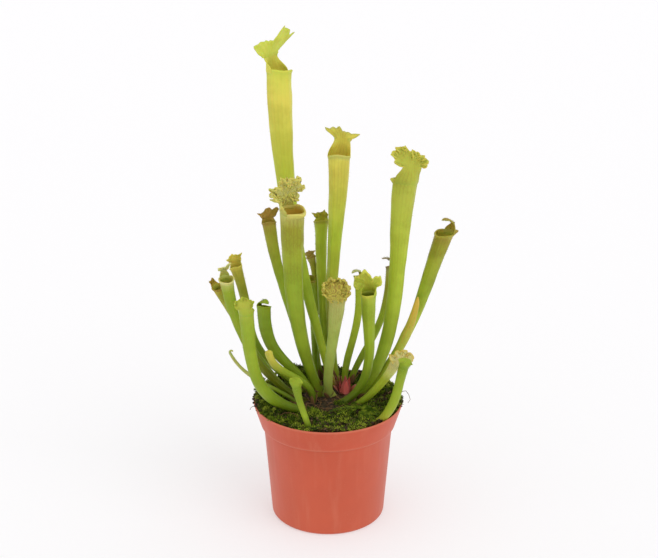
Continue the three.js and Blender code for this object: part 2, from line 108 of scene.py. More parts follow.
def placeStudio():
    room = bpy.data.worlds.new("brightRoom")
    room.use_nodes = True
    sky = room.node_tree.nodes["Background"].inputs
    sky["Color"].default_value = (1, 1, 1, 1)
    sky["Strength"].default_value = studio["roomLight"]
    scene.world = room
    for name, place, strength, breadth in studio["lamps"]:
        data = bpy.data.lights.new(name, "SUN")
        data.energy = strength
        data.angle = math.radians(breadth)
        lamp = addObject(name, data)
        lamp.location = place
        lamp.rotation_euler = (-lamp.location).to_track_quat("-Z", "Y").to_euler()
    ground = bmesh.new()
    bmesh.ops.create_grid(ground, x_segments=1, y_segments=1, size=studio["floorSize"] / 2)
    floor = addObject("paleFloor", meshFrom(ground, "paleFloor"))
    finish, tree = startFinish("floorPaint")
    surface = tree.nodes["Principled BSDF"].inputs
    surface["Emission Color"].default_value = studio["glowColour"]
    surface["Emission Strength"].default_value = studio["glow"]
    floor.data.materials.append(coat(finish, studio["floorColour"], studio["floorRoughness"]))


def paint(red, green, blue):
    def linear(value):
        value /= 255
        return value / 12.92 if value <= 0.04045 else ((value + 0.055) / 1.055) ** 2.4

    return (linear(red), linear(green), linear(blue), 1)


def startFinish(name):
    finish = bpy.data.materials.new(name)
    finish.use_nodes = True
    return finish, finish.node_tree


# Joins a colour, a roughness and a relief to a finish's surface. Each is a value or a socket.
def coat(finish, colour, roughness, relief=None, shine=None):
    tree = finish.node_tree
    surface = tree.nodes["Principled BSDF"].inputs
    plug(tree, colour, surface["Base Color"])
    plug(tree, roughness, surface["Roughness"])
    if relief:
        plug(tree, relief, surface["Normal"])
    if shine is not None:
        surface["Specular IOR Level"].default_value = shine
    return finish


# Small helpers for node trees. Each returns the socket that carries its result.
def addNode(tree, kind, **settings):
    made = tree.nodes.new(kind)
    for name, value in settings.items():
        setattr(made, name, value)
    return made


def plug(tree, value, socket):
    if isinstance(value, bpy.types.NodeSocket):
        tree.links.new(value, socket)
    else:
        socket.default_value = value


def maths(tree, operation, first, second=0.0):
    made = addNode(tree, "ShaderNodeMath", operation=operation)
    plug(tree, first, made.inputs[0])
    plug(tree, second, made.inputs[1])
    return made.outputs[0]


def times(tree, first, second):
    return maths(tree, "MULTIPLY", first, second)


def blendColour(tree, factor, first, second, way="MIX"):
    made = addNode(tree, "ShaderNodeMix", data_type="RGBA", blend_type=way)
    for value, socket in ((factor, 0), (first, 6), (second, 7)):
        plug(tree, value, made.inputs[socket])
    return made.outputs[2]


def remap(tree, value, low, high, newLow=0.0, newHigh=1.0):
    made = addNode(tree, "ShaderNodeMapRange", interpolation_type="SMOOTHSTEP")
    for index, part in enumerate((value, low, high, newLow, newHigh)):
        plug(tree, part, made.inputs[index])
    return made.outputs[0]


def colourRamp(tree, factor, stops):
    made = addNode(tree, "ShaderNodeValToRGB")
    points = made.color_ramp.elements
    while len(points) < len(stops):
        points.new(0.5)
    for point, (place, colour) in zip(points, stops):
        point.position = place
        point.color = colour
    plug(tree, factor, made.inputs[0])
    return made.outputs[0]


def noiseOf(tree, vector, scale, detail=3.0):
    made = addNode(tree, "ShaderNodeTexNoise")
    for label, value in (("Vector", vector), ("Scale", scale), ("Detail", detail),
                         ("Roughness", 0.55)):
        plug(tree, value, made.inputs[label])
    return made.outputs["Fac"]


def cellsOf(tree, vector, scale, feature="F1"):
    made = addNode(tree, "ShaderNodeTexVoronoi", feature=feature)
    plug(tree, vector, made.inputs["Vector"])
    plug(tree, scale, made.inputs["Scale"])
    return made.outputs["Distance"]


def objectPlace(tree):
    return addNode(tree, "ShaderNodeTexCoord").outputs["Object"]


def maskOf(tree, name):
    return addNode(tree, "ShaderNodeAttribute", attribute_name=name).outputs["Fac"]


def bumpOf(tree, height, strength, distance):
    made = addNode(tree, "ShaderNodeBump")
    for label, value in (("Strength", strength), ("Distance", distance), ("Height", height)):
        plug(tree, value, made.inputs[label])
    return made.outputs["Normal"]


def startGroup(name, numbers, results):
    tree = bpy.data.node_groups.new(name, "ShaderNodeTree")
    for label, value in numbers.items():
        socket = tree.interface.new_socket(label, in_out="INPUT", socket_type="NodeSocketFloat")
        socket.default_value = value
    for label in results:
        tree.interface.new_socket(label, in_out="OUTPUT", socket_type="NodeSocketFloat")
    return tree, addNode(tree, "NodeGroupInput").outputs, addNode(tree, "NodeGroupOutput").inputs


def useGroup(tree, group, **numbers):
    made = addNode(tree, "ShaderNodeGroup", node_tree=group)
    for label, value in numbers.items():
        plug(tree, value, made.inputs[label])
    return made.outputs


# Veins that run up a leaf, joined by a fine net. Both follow the piece's own UV map.
def makeVeinGroup():
    tree, given, wanted = startGroup(
        "leafVeins", {"Count": 16, "Wander": 2.5, "Net": 0.6, "Rows": 26}, ["Lines", "Height"])
    parts = addNode(tree, "ShaderNodeSeparateXYZ")
    plug(tree, addNode(tree, "ShaderNodeUVMap", uv_map="UVMap").outputs[0], parts.inputs[0])
    drift = maths(tree, "SUBTRACT", noiseOf(tree, objectPlace(tree), 70.0), 0.5)
    drift = times(tree, drift, given["Wander"])
    around = times(tree, parts.outputs[0], given["Count"])
    phase = maths(tree, "ADD", times(tree, around, fullTurn), drift)
    wave = maths(tree, "MULTIPLY_ADD", maths(tree, "COSINE", phase), 0.5)
    wave.node.inputs[2].default_value = 0.5
    lines = maths(tree, "POWER", wave, 9.0)
    joined = addNode(tree, "ShaderNodeCombineXYZ")
    for index, value in enumerate((around, times(tree, parts.outputs[1], given["Rows"]), drift)):
        plug(tree, value, joined.inputs[index])
    edges = cellsOf(tree, joined.outputs[0], 1.6, "DISTANCE_TO_EDGE")
    net = times(tree, remap(tree, edges, 0.0, 0.12, 1.0, 0.0), given["Net"])
    plug(tree, maths(tree, "MAXIMUM", lines, net), wanted["Lines"])
    plug(tree, maths(tree, "ADD", wave, times(tree, net, 0.4)), wanted["Height"])
    return tree


# Soft patches of lighter and darker tone.
def makeMottleGroup():
    tree, given, wanted = startGroup("mottle", {"Scale": 60, "Low": 0.35, "High": 0.65}, ["Mask"])
    cloud = noiseOf(tree, objectPlace(tree), given["Scale"], 4.0)
    plug(tree, remap(tree, cloud, given["Low"], given["High"]), wanted["Mask"])
    return tree


# Small round spots, as on an ageing leaf, or dust and splashes on the pot.
def makeSpotGroup():
    tree, given, wanted = startGroup("spots", {"Scale": 500, "Size": 0.25, "Cover": 0.5}, ["Mask"])
    place = objectPlace(tree)
    dots = remap(tree, cellsOf(tree, place, given["Scale"]), given["Size"], 0.0)
    cover = maths(tree, "ADD", given["Cover"], 0.12)
    patches = remap(tree, noiseOf(tree, place, 45.0), given["Cover"], cover)
    plug(tree, times(tree, dots, patches), wanted["Mask"])
    return tree


veins = makeVeinGroup()
mottle = makeMottleGroup()
spots = makeSpotGroup()

# The plant's own palette.
tones = {
    "deepGreen": paint(88, 110, 10), "grassGreen": paint(126, 150, 22),
    "leafGreen": paint(152, 174, 38), "lime": paint(180, 198, 50), "paleLime": paint(204, 214, 76),
    "oliveLime": paint(178, 184, 62), "olive": paint(162, 162, 42),
    "darkOlive": paint(118, 122, 14), "butter": paint(230, 224, 96), "straw": paint(220, 208, 84),
    "cream": paint(232, 226, 150), "hay": paint(214, 208, 126), "wheat": paint(206, 186, 112),
    "sage": paint(184, 188, 104),
    "mist": paint(168, 184, 84), "grey": paint(164, 160, 122), "dusk": paint(180, 152, 68),
    "ochre": paint(210, 180, 66), "amber": paint(218, 156, 66), "rust": paint(146, 86, 42),
    "umber": paint(128, 104, 32), "bark": paint(100, 70, 32),
}

# A leaf's look. tones run from above its foot to its hood, and lie at the stops after the first.
leafLook = {
    "roughness": 0.44, "softness": 0.15, "reach": 0.003, "shine": 0.3,
    "stops": (0.005, 0.05, 0.3, 0.58, 0.8, 0.88),
}
# The foot tone darkens each leaf's base: partly the old base's own brown, partly painted shade
# where the leaf goes down into the moss.
plainLook = {"foot": "bark", "cloud": 0.22, "count": 19, "net": 0.5, "veins": 0.4, "vein": "umber",
             "spots": 0, "rim": "sage", "rimShare": 0.8, "throat": "olive"}


def leafSkin(name, leaf):
    look = {**plainLook, **leaf["look"]}
    finish, tree = startFinish(name)
    along = maskOf(tree, "tone")
    # The first colour is the foot's: partly its own brown, partly painted shade.
    palette = [tones[tone] for tone in (look["foot"], *look["tones"].split())]
    base = colourRamp(tree, along, list(zip(leafLook["stops"], palette)))
    cloud = useGroup(tree, mottle, Scale=55.0)["Mask"]
    deeper = blendColour(tree, 1.0, base, tones["olive"], "MULTIPLY")
    base = blendColour(tree, times(tree, cloud, look["cloud"]), base, deeper)
    lines = useGroup(tree, veins, Count=look["count"], Net=look["net"])
    strength = times(tree, remap(tree, along, 0.25, 0.95, 0.3, 1.0), look["veins"] * 0.8)
    strength = times(tree, strength, remap(tree, cloud, 0.0, 1.0, 0.35, 1.0))
    base = blendColour(tree, times(tree, lines["Lines"], strength), base, tones[look["vein"]])
    if look["spots"]:
        dots = useGroup(tree, spots, Scale=420.0, Size=0.32, Cover=0.42)["Mask"]
        base = blendColour(tree, times(tree, dots, look["spots"]), base, tones["rust"])
    margin = times(tree, maskOf(tree, "rim"), look["rimShare"])
    base = blendColour(tree, margin, base, tones[look["rim"]])
    # The throat tone colours the tube's inner wall: partly the wall's own colour, partly painted
    # shade inside the hollow.
    deep = times(tree, maskOf(tree, "throat"), 0.85)
    base = blendColour(tree, deep, base, tones[look["throat"]])
    rough = remap(tree, cloud, 0.0, 1.0, leafLook["roughness"], leafLook["roughness"] + 0.14)
    relief = maths(tree, "ADD", lines["Height"], times(tree, cloud, 0.5))
    surface = tree.nodes["Principled BSDF"].inputs
    surface["Subsurface Weight"].default_value = leafLook["softness"]
    surface["Subsurface Scale"].default_value = leafLook["reach"]
    return coat(finish, base, rough, bumpOf(tree, relief, 0.35, 0.0002), leafLook["shine"])


# Every new piece comes through here: scaled to metres, smooth, riding on the one body.
def finishPiece(name, shape, finish, node=None, slot=None):
    bmesh.ops.scale(shape, vec=(metresPerMm,) * 3, verts=shape.verts)
    piece = addObject(name, meshFrom(shape, name))
    piece.data.shade_smooth()
    piece.data.materials.append(finish)
    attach(piece, "root")
    if node:
        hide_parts(node)
    return piece


maskNames = ("tone", "rim", "throat")


def startShape():
    shape = bmesh.new()
    shape.loops.layers.uv.new("UVMap")
    for name in maskNames:
        shape.verts.layers.float.new(name)
    return shape


# A grid whose corners are moved by a formula. place takes the column's share and the row and
# gives the point and its masks. Corners that meet are merged, so seams and poles close.
def wrapGrid(shape, columns, rows, place):
    made = bmesh.ops.create_grid(shape, x_segments=columns, y_segments=rows, size=1.0,
                                 calc_uvs=True)["verts"]
    masks = [shape.verts.layers.float[name] for name in maskNames]
    for corner in made:
        share, row = (corner.co.x + 1) / 2, round((corner.co.y + 1) / 2 * rows)
        corner.co, *values = place(share, row)
        for layer, value in zip(masks, values):
            corner[layer] = value
    bmesh.ops.remove_doubles(shape, verts=made, dist=weldDistance)
    faces = {face for corner in made if corner.is_valid for face in corner.link_faces}
    return list(faces)


def pointOutwards(shape, faces):
    bmesh.ops.recalc_face_normals(shape, faces=faces)


# A thin sheet with two faces that meet along its edges. place gives the middle surface.
def addSheet(shape, columns, rows, wall, place):
    spots = [[place(column / columns, row) for row in range(rows + 1)]
             for column in range(columns + 1)]

    def bothFaces(around, row):
        column = round((1 - abs(2 * around - 1)) * columns)
        point, *masks = spots[column][row]
        before, after = spots[max(column - 1, 0)][row][0], spots[min(column + 1, columns)][row][0]
        below, above = spots[column][max(row - 1, 0)][0], spots[column][min(row + 1, rows)][0]
        outward = (after - before).cross(above - below).normalized()
        atEdge = column in (0, columns) or row in (0, rows)
        half = 0 if atEdge else wall / 2
        return point + outward * half * (1 if around < 0.5 else -1), *masks

    pointOutwards(shape, wrapGrid(shape, 2 * columns, rows, bothFaces))


def polar(radius, turn, height=0):
    return Vector((radius * math.cos(turn), radius * math.sin(turn), height))


def smoothStep(low, high, value):
    share = min(max((value - low) / (high - low), 0), 1)
    return share * share * (3 - 2 * share)


def bell(value):
    return math.exp(-(value ** 2))


def between(stops, value):
    for (low, first), (high, second) in zip(stops, stops[1:]):
        if value <= high:
            share = min(max((value - low) / (high - low), 0), 1)
            return first + (second - first) * share
    return stops[-1][1]


# One leaf's curve, from its foot in the crown to its mouth, with the directions across it.
leafFoot = 93
girthStations = (0, 1 / 3, 2 / 3, 0.94, 1)


def leafFrames(leaf, shares):
    first = Vector((*leaf["foot"], leafFoot))
    second, third = (Vector(pull) for pull in leaf["pulls"])
    last = Vector(leaf["mouth"])
    front = polar(1, math.radians(leaf["faces"]))
    frames = []
    for t in reversed(shares):
        rest = 1 - t
        middle = first * rest ** 3 + second * 3 * rest * rest * t + third * 3 * rest * t * t
        middle += last * t ** 3
        way = (second - first) * rest * rest + (third - second) * 2 * rest * t
        way = (way + (last - third) * t * t).normalized()
        front = (front - way * front.dot(way)).normalized()
        frames.append((middle, way, front, way.cross(front)))
    return frames[::-1]


def girthAt(leaf, share):
    return between(list(zip(girthStations, leaf["girth"])), share)


tube = {
    "sides": 40, "rows": 56, "innerRows": 18, "wall": 0.8, "keel": 0.2, "keelWidth": 0.28,
    "hollowTo": 0.45, "hollowFrom": 0.985, "rootStub": 3, "splay": 0.3, "footShare": 0.13,
    "cleftWidth": 0.4, "pleats": 9, "pleatDepth": 0.012, "bumpScale": 0.09, "bumpDepth": 0.05,
    "waves": 3, "waveDepth": 0.05, "pointWidth": 0.4, "mouthShare": 0.93,
    # The lip rolls outwards: how far out and how high, in mm on a mouth of lipRadius.
    "lip": [(0.3, -1.5), (0.8, -0.9), (1.05, -0.2), (0.9, 0.4), (0.35, 0.75), (-0.3, 0.5),
            (-0.7, -0.4), (-0.8, -1.8)],
    "lipRadius": 9,
}


# tilt lifts the mouth's back over its front, and its near side over its far side.
def mouthRise(leaf, offset, front, share=1):
    slope, near = leaf.get("tilt", (0.1, 0.15))
    return (-slope * offset.dot(front) - near * offset.y) * smoothStep(
        tube["mouthShare"], 1, share)


# How far a tube's wall lies from its middle, with its keel, pleats, bumps and spread foot.
def wallOffset(leaf, seed, frame, share, turn, radius, inside=False):
    middle, _, front, side = frame
    near = min(turn % fullTurn, -turn % fullTurn)
    keel = tube["keel"] * leaf.get("wing", 1) * bell(near / tube["keelWidth"])
    keel *= (1 - share ** 4) * (0 if inside else 1)
    low = 1 - smoothStep(0, tube["footShare"], share)
    keel += leaf.get("splay", tube["splay"]) * low * (1 - 0.4 * math.cos(2 * turn))
    keel -= leaf.get("cleft", 0) * low * bell((math.pi - near) / tube["cleftWidth"])
    pleat = tube["pleatDepth"] * math.cos(turn * tube["pleats"]) * smoothStep(0.1, 0.5, share)
    offset = front * math.cos(turn) * radius + side * math.sin(turn) * radius
    spot = (middle + offset) * tube["bumpScale"] + Vector((seed * 7.3, seed * 3.1, 0))
    bump = noise.noise(spot) * tube["bumpDepth"]
    flat = 1 - leaf.get("flat", 0) * smoothStep(0.2, 0.9, share) * abs(math.cos(turn))
    return offset * (1 + keel + pleat + bump) * flat


# A point of a tube's wall, so far out from the curve, and which way the wall faces there.
def wallPoint(leaf, seed, share, turn, radius, sunk=1):
    frame = leafFrames(leaf, [share, 1])[0]
    offset = wallOffset(leaf, seed, frame, share, turn, radius)
    rise = mouthRise(leaf, offset, frame[2], share)
    return frame[0] + offset * sunk + frame[1] * rise, offset.normalized()


# A tube's rings: share of the curve, radius, lift, and the three masks.
def tubeRings(leaf):
    stub, mouth, rows = -tube["rootStub"], leaf["girth"][-1], tube["rows"]
    rings = [(0, 0, stub, 0, 0, 0), (0, girthAt(leaf, 0), stub, 0, 0, 0)]
    shares = [i / rows for i in range(rows + (0 if "hood" in leaf else 1))]
    rings += [(share, girthAt(leaf, share), 0, share * 0.85, 0, 0) for share in shares]
    if "hood" not in leaf:
        return rings + [(1, mouth * 0.7, mouth * 0.5, 0.85, 0, 0), (1, 0, mouth * 0.8, 0.85, 0, 0)]
    size = min(max(mouth / tube["lipRadius"], 0.55), 1.1)
    for out, lift in tube["lip"]:
        inside = 1 if out < 0 else 0
        rings.append((1, mouth + out * size, lift * size, 0.86, 0.75 - inside * 0.4, inside * 0.4))
    deep, high = tube["hollowTo"], tube["hollowFrom"]
    for i in range(tube["innerRows"] + 1):
        share = high + (deep - high) * i / tube["innerRows"]
        rings.append((share, girthAt(leaf, share) - tube["wall"], 0, 0.84, 0, 1))
    return rings + [(deep, 0, 0, 0.84, 0, 1)]


def addTube(shape, leaf, seed):
    rings = tubeRings(leaf)
    mouth = leaf["girth"][-1]
    order = sorted({ring[0] for ring in rings})
    frames = dict(zip(order, leafFrames(leaf, order)))
    hood = {**plainHood, **leaf.get("hood", {})}
    grip, swing = math.radians(hood["grip"]), math.radians(hood["swing"])

    def place(around, row):
        share, radius, lift, tone, rim, throat = rings[row]
        middle, way, front, _ = frames[share]
        turn = fullTurn * around
        inside = throat > 0.9
        # The lip fades out where the hood's neck grows from the back of the mouth.
        if share == 1 and "hood" in leaf:
            away = abs((turn - swing) % fullTurn - math.pi)
            held = 1 - smoothStep(grip - 0.15, grip + 0.35, away)
            rim *= 1 - held
            outside = radius > mouth - 0.1
            radius = mouth + (radius - mouth) * (1 - held if radius > mouth else 1)
            lift *= 1 - held
            for angle, size in leaf.get("points", ()):
                off = (turn - math.radians(angle) + math.pi) % fullTurn - math.pi
                radius += size * bell(off / tube["pointWidth"]) * outside
        offset = wallOffset(leaf, seed, frames[share], share, turn, radius, inside)
        wavy = tube["waveDepth"] * radius * math.sin(turn * tube["waves"] + seed)
        wavy *= smoothStep(0.99, 1, share) * (not inside)
        rise = lift + mouthRise(leaf, offset, front, share)
        return middle + offset + way * (rise + wavy), tone, rim, throat

    wrapGrid(shape, tube["sides"], len(rings) - 1, place)


# A hood is a fan on a neck. The neck grows out of the back of the mouth, and both bend forward
# over it along one arc. fan lists how far the fan reaches at each angle from its middle.
hoodShape = {"root": 4, "neckRows": 9, "fanRows": 18, "columns": 80, "wall": 0.7, "inset": 0.25,
             "bumpScale": 0.16, "bumpDepth": 0.8}
plainHood = {"grip": 60, "swing": 0, "neckWidth": 0.6, "lean": 0, "cup": 0, "ruffle": (0, 0),
             "frill": (0, 0), "lobes": (0, 0), "curl": 0, "curlSize": 1.2}


def hoodSurface(leaf, seed):
    hood = {**plainHood, **leaf["hood"]}
    middle, way, front, side = leafFrames(leaf, [0.9, 1])[1]
    mouth, neck, fan, cup = leaf["girth"][-1], hood["neck"], hood["fan"], hood["cup"]
    start = math.radians(hood["lean"])
    curve = math.radians(hood["bend"][0]) / hood["bend"][1]
    root, neckRows, fanRows = (hoodShape[key] for key in ("root", "neckRows", "fanRows"))
    shift = Vector((seed * 5.7, 0, seed * 2.9))
    topWidth = hood["neckWidth"] * mouth
    pace = 3 * (Vector(leaf["mouth"]) - Vector(leaf["pulls"][1])).length  # mm of tube to a share
    back = -front * (mouth - hoodShape["inset"])
    centre = middle + back + way * mouthRise(leaf, back, front)

    def arc(length, base):
        tilt = start + curve * max(length, 0)
        up = (math.sin(tilt) - math.sin(start)) / curve + math.cos(start) * min(length, 0)
        forward = (math.cos(start) - math.cos(tilt)) / curve + math.sin(start) * min(length, 0)
        return base + way * up + front * forward, front * math.cos(tilt) - way * math.sin(tilt)

    # A point on the tube's own wall, so many millimetres below the mouth.
    def onWall(turn, below):
        share = 1 - below / pace
        width = girthAt(leaf, share) + 0.05 - 0.7 * smoothStep(0, root, below)
        return wallPoint(leaf, seed, share, turn, width)[0]

    def place(column, row):
        across = 2 * column - 1
        if row <= neckRows:
            share = row / neckRows
            turn = math.pi + math.radians(hood["swing"] - across * hood["grip"])
            climb = -root + (neck + root) * share
            held = 1 - smoothStep(0.05, 1, climb / neck)
            low, _ = arc(max(climb, 0), onWall(turn, max(-climb, 0)))
            high, facing = arc(climb, centre)
            high += side * topWidth * across + facing * cup * (topWidth * across) ** 2 / 20
            point = low * held + high * (1 - held)
            return point, 0.8 + 0.06 * share, 0.5 * abs(across) ** 8 * share, 0
        spread = (row - neckRows) / fanRows
        angle = fan[0][0] + (fan[-1][0] - fan[0][0]) * column
        count, depth = hood["lobes"]
        reach = between(fan, angle)
        if count:
            reach *= 1 - depth * abs(math.cos(math.pi * count * column)) ** 3
        # The margin rolls back on itself once the sheet has come as far as it reaches.
        size, most = hood["curlSize"], math.radians(hood["curl"])
        flatPart = reach - size if most else reach
        length = spread * (flatPart + size * most)
        rolled = 0
        if length > flatPart:
            over = (length - flatPart) / size
            length = flatPart + size * math.sin(over)
            rolled = -size * (1 - math.cos(over))
        turn = math.radians(angle)
        point, facing = arc(neck + length * math.cos(turn), centre)
        out = length * math.sin(turn) + topWidth * across * (1 - spread) ** 2
        lift = cup * out * out / 20 + rolled
        waves, height = hood["ruffle"]
        lift += height * spread ** 2 * math.sin(fullTurn * waves * column + seed)
        waves, height = hood["frill"]
        lift += height * spread ** 4 * math.sin(fullTurn * waves * column + seed * 2)
        spot = Vector((out, length, 0)) * hoodShape["bumpScale"] + shift
        lift += noise.noise(spot) * hoodShape["bumpDepth"] * spread
        point = point + side * out + facing * lift
        return point, 0.87 + 0.13 * spread, smoothStep(0.78, 1.0, spread), 0

    return place


def addHood(shape, leaf, seed):
    place = hoodSurface(leaf, seed)
    rows = hoodShape["neckRows"] + hoodShape["fanRows"]
    addSheet(shape, hoodShape["columns"], rows, hoodShape["wall"], place)
    if "curls" in leaf["hood"]:
        addCurls(shape, place, rows, leaf["hood"]["curls"], random.Random(seed))


# Tight little curls on the frilled hoods. rings lists how many rows in from the margin each
# ring of curls lies, and how many curls it has.
curlSteps = 12


def addCurls(shape, place, rows, curls, rng):
    for inward, count in curls["rings"]:
        for i in range(count):
            column = (i + rng.uniform(0.2, 0.8)) / count
            edge, inner = place(column, rows - inward)[0], place(column, rows - inward - 4)[0]
            beside = place(min(column + 0.01, 1), rows - inward)[0]
            outward = (edge - inner).normalized()
            along = (beside - edge).normalized() * rng.choice((-1, 1))
            tilted = (along + outward.cross(along) * rng.uniform(-0.8, 0.8)).normalized()
            size = rng.uniform(*curls["size"])
            centre = edge - outward * size * (0.9 if inward < 3 else 0.3)
            points = []
            for step in range(curlSteps + 1):
                turn = fullTurn * (-0.3 + 1.2 * step / curlSteps)
                shrink = size * (1 - 0.45 * step / curlSteps)
                points.append(centre + outward * math.cos(turn) * shrink
                              + tilted * math.sin(turn) * shrink)
            addStrand(shape, points, curls["thick"], 6, 0.9)


def scatter(shape, mesh, places):
    for place in places:
        mesh.transform(place)
        shape.from_mesh(mesh)
        mesh.transform(place.inverted())


# Short pale hairs stand on the hood and round the lip.
hairs = {"onHood": 150, "onTube": 90, "length": (0.7, 1.6), "thick": 0.09, "lean": 0.6,
         "tone": 0.9, "rim": 0.6}


def addSpike(shape, radius, length, turned=Matrix()):
    return bmesh.ops.create_cone(
        shape, cap_ends=True, segments=3, radius1=radius, radius2=0, depth=length,
        matrix=turned @ Matrix.Translation((0, 0, length / 2)))["verts"]


def addHairs(shape, places, rng):
    hair = startShape()
    for corner in addSpike(hair, hairs["thick"], 1):
        for mask in ("tone", "rim"):
            corner[hair.verts.layers.float[mask]] = hairs[mask]
    mesh = meshFrom(hair, "hair")
    spots = []
    for point, outward in places:
        lean = Vector([rng.uniform(-hairs["lean"], hairs["lean"]) for _ in range(3)])
        way = Vector((0, 0, 1)).rotation_difference(outward + lean).to_matrix().to_4x4()
        long = Matrix.Diagonal((1, 1, rng.uniform(*hairs["length"]), 1))
        spots.append(Matrix.Translation(point) @ way @ long)
    scatter(shape, mesh, spots)
    bpy.data.meshes.remove(mesh)


def hairPlaces(leaf, seed, rng):
    surface = hoodSurface(leaf, seed)
    rows = hoodShape["neckRows"] + hoodShape["fanRows"]
    for _ in range(hairs["onHood"]):
        column, row = rng.uniform(0.02, 0.98), rng.randint(hoodShape["neckRows"], rows - 1)
        point, after, above = (surface(column, row)[0], surface(column + 0.01, row)[0],
                               surface(column, row + 1)[0])
        outward = (after - point).cross(above - point).normalized() * rng.choice((-1, 1))
        yield point + outward * hoodShape["wall"] * 0.4, outward
    for _ in range(hairs["onTube"]):
        share, turn = rng.uniform(0.8, 0.985), rng.uniform(0, fullTurn)
        yield wallPoint(leaf, seed, share, turn, girthAt(leaf, share), 0.99)


def makeLeaf(name, leaf, seed):
    shape = startShape()
    addTube(shape, leaf, seed)
    if "hood" in leaf:
        addHood(shape, leaf, seed)
        rng = random.Random(seed + 100)
        addHairs(shape, hairPlaces(leaf, seed, rng), rng)
    if "tip" in leaf:
        addTip(shape, leaf)
    finishPiece(name, shape, leafSkin(name + "_skin", leaf), leaf["node"], leaf["slot"])


# The tendril's end curls over in a small hook.
def addTip(shape, leaf):
    middle, way, front, _ = leafFrames(leaf, [0.9, 1])[1]
    size, most = leaf["tip"]
    points = [middle - way * 2, middle]
    for step in range(1, curlSteps + 1):
        turn = math.radians(most) * step / curlSteps
        shrink = size * (1 - 0.03 * step)
        points.append(middle + way * math.sin(turn) * shrink
                      + front * (1 - math.cos(turn)) * shrink)
    addStrand(shape, points, leaf["girth"][-1], 10, 0.85)


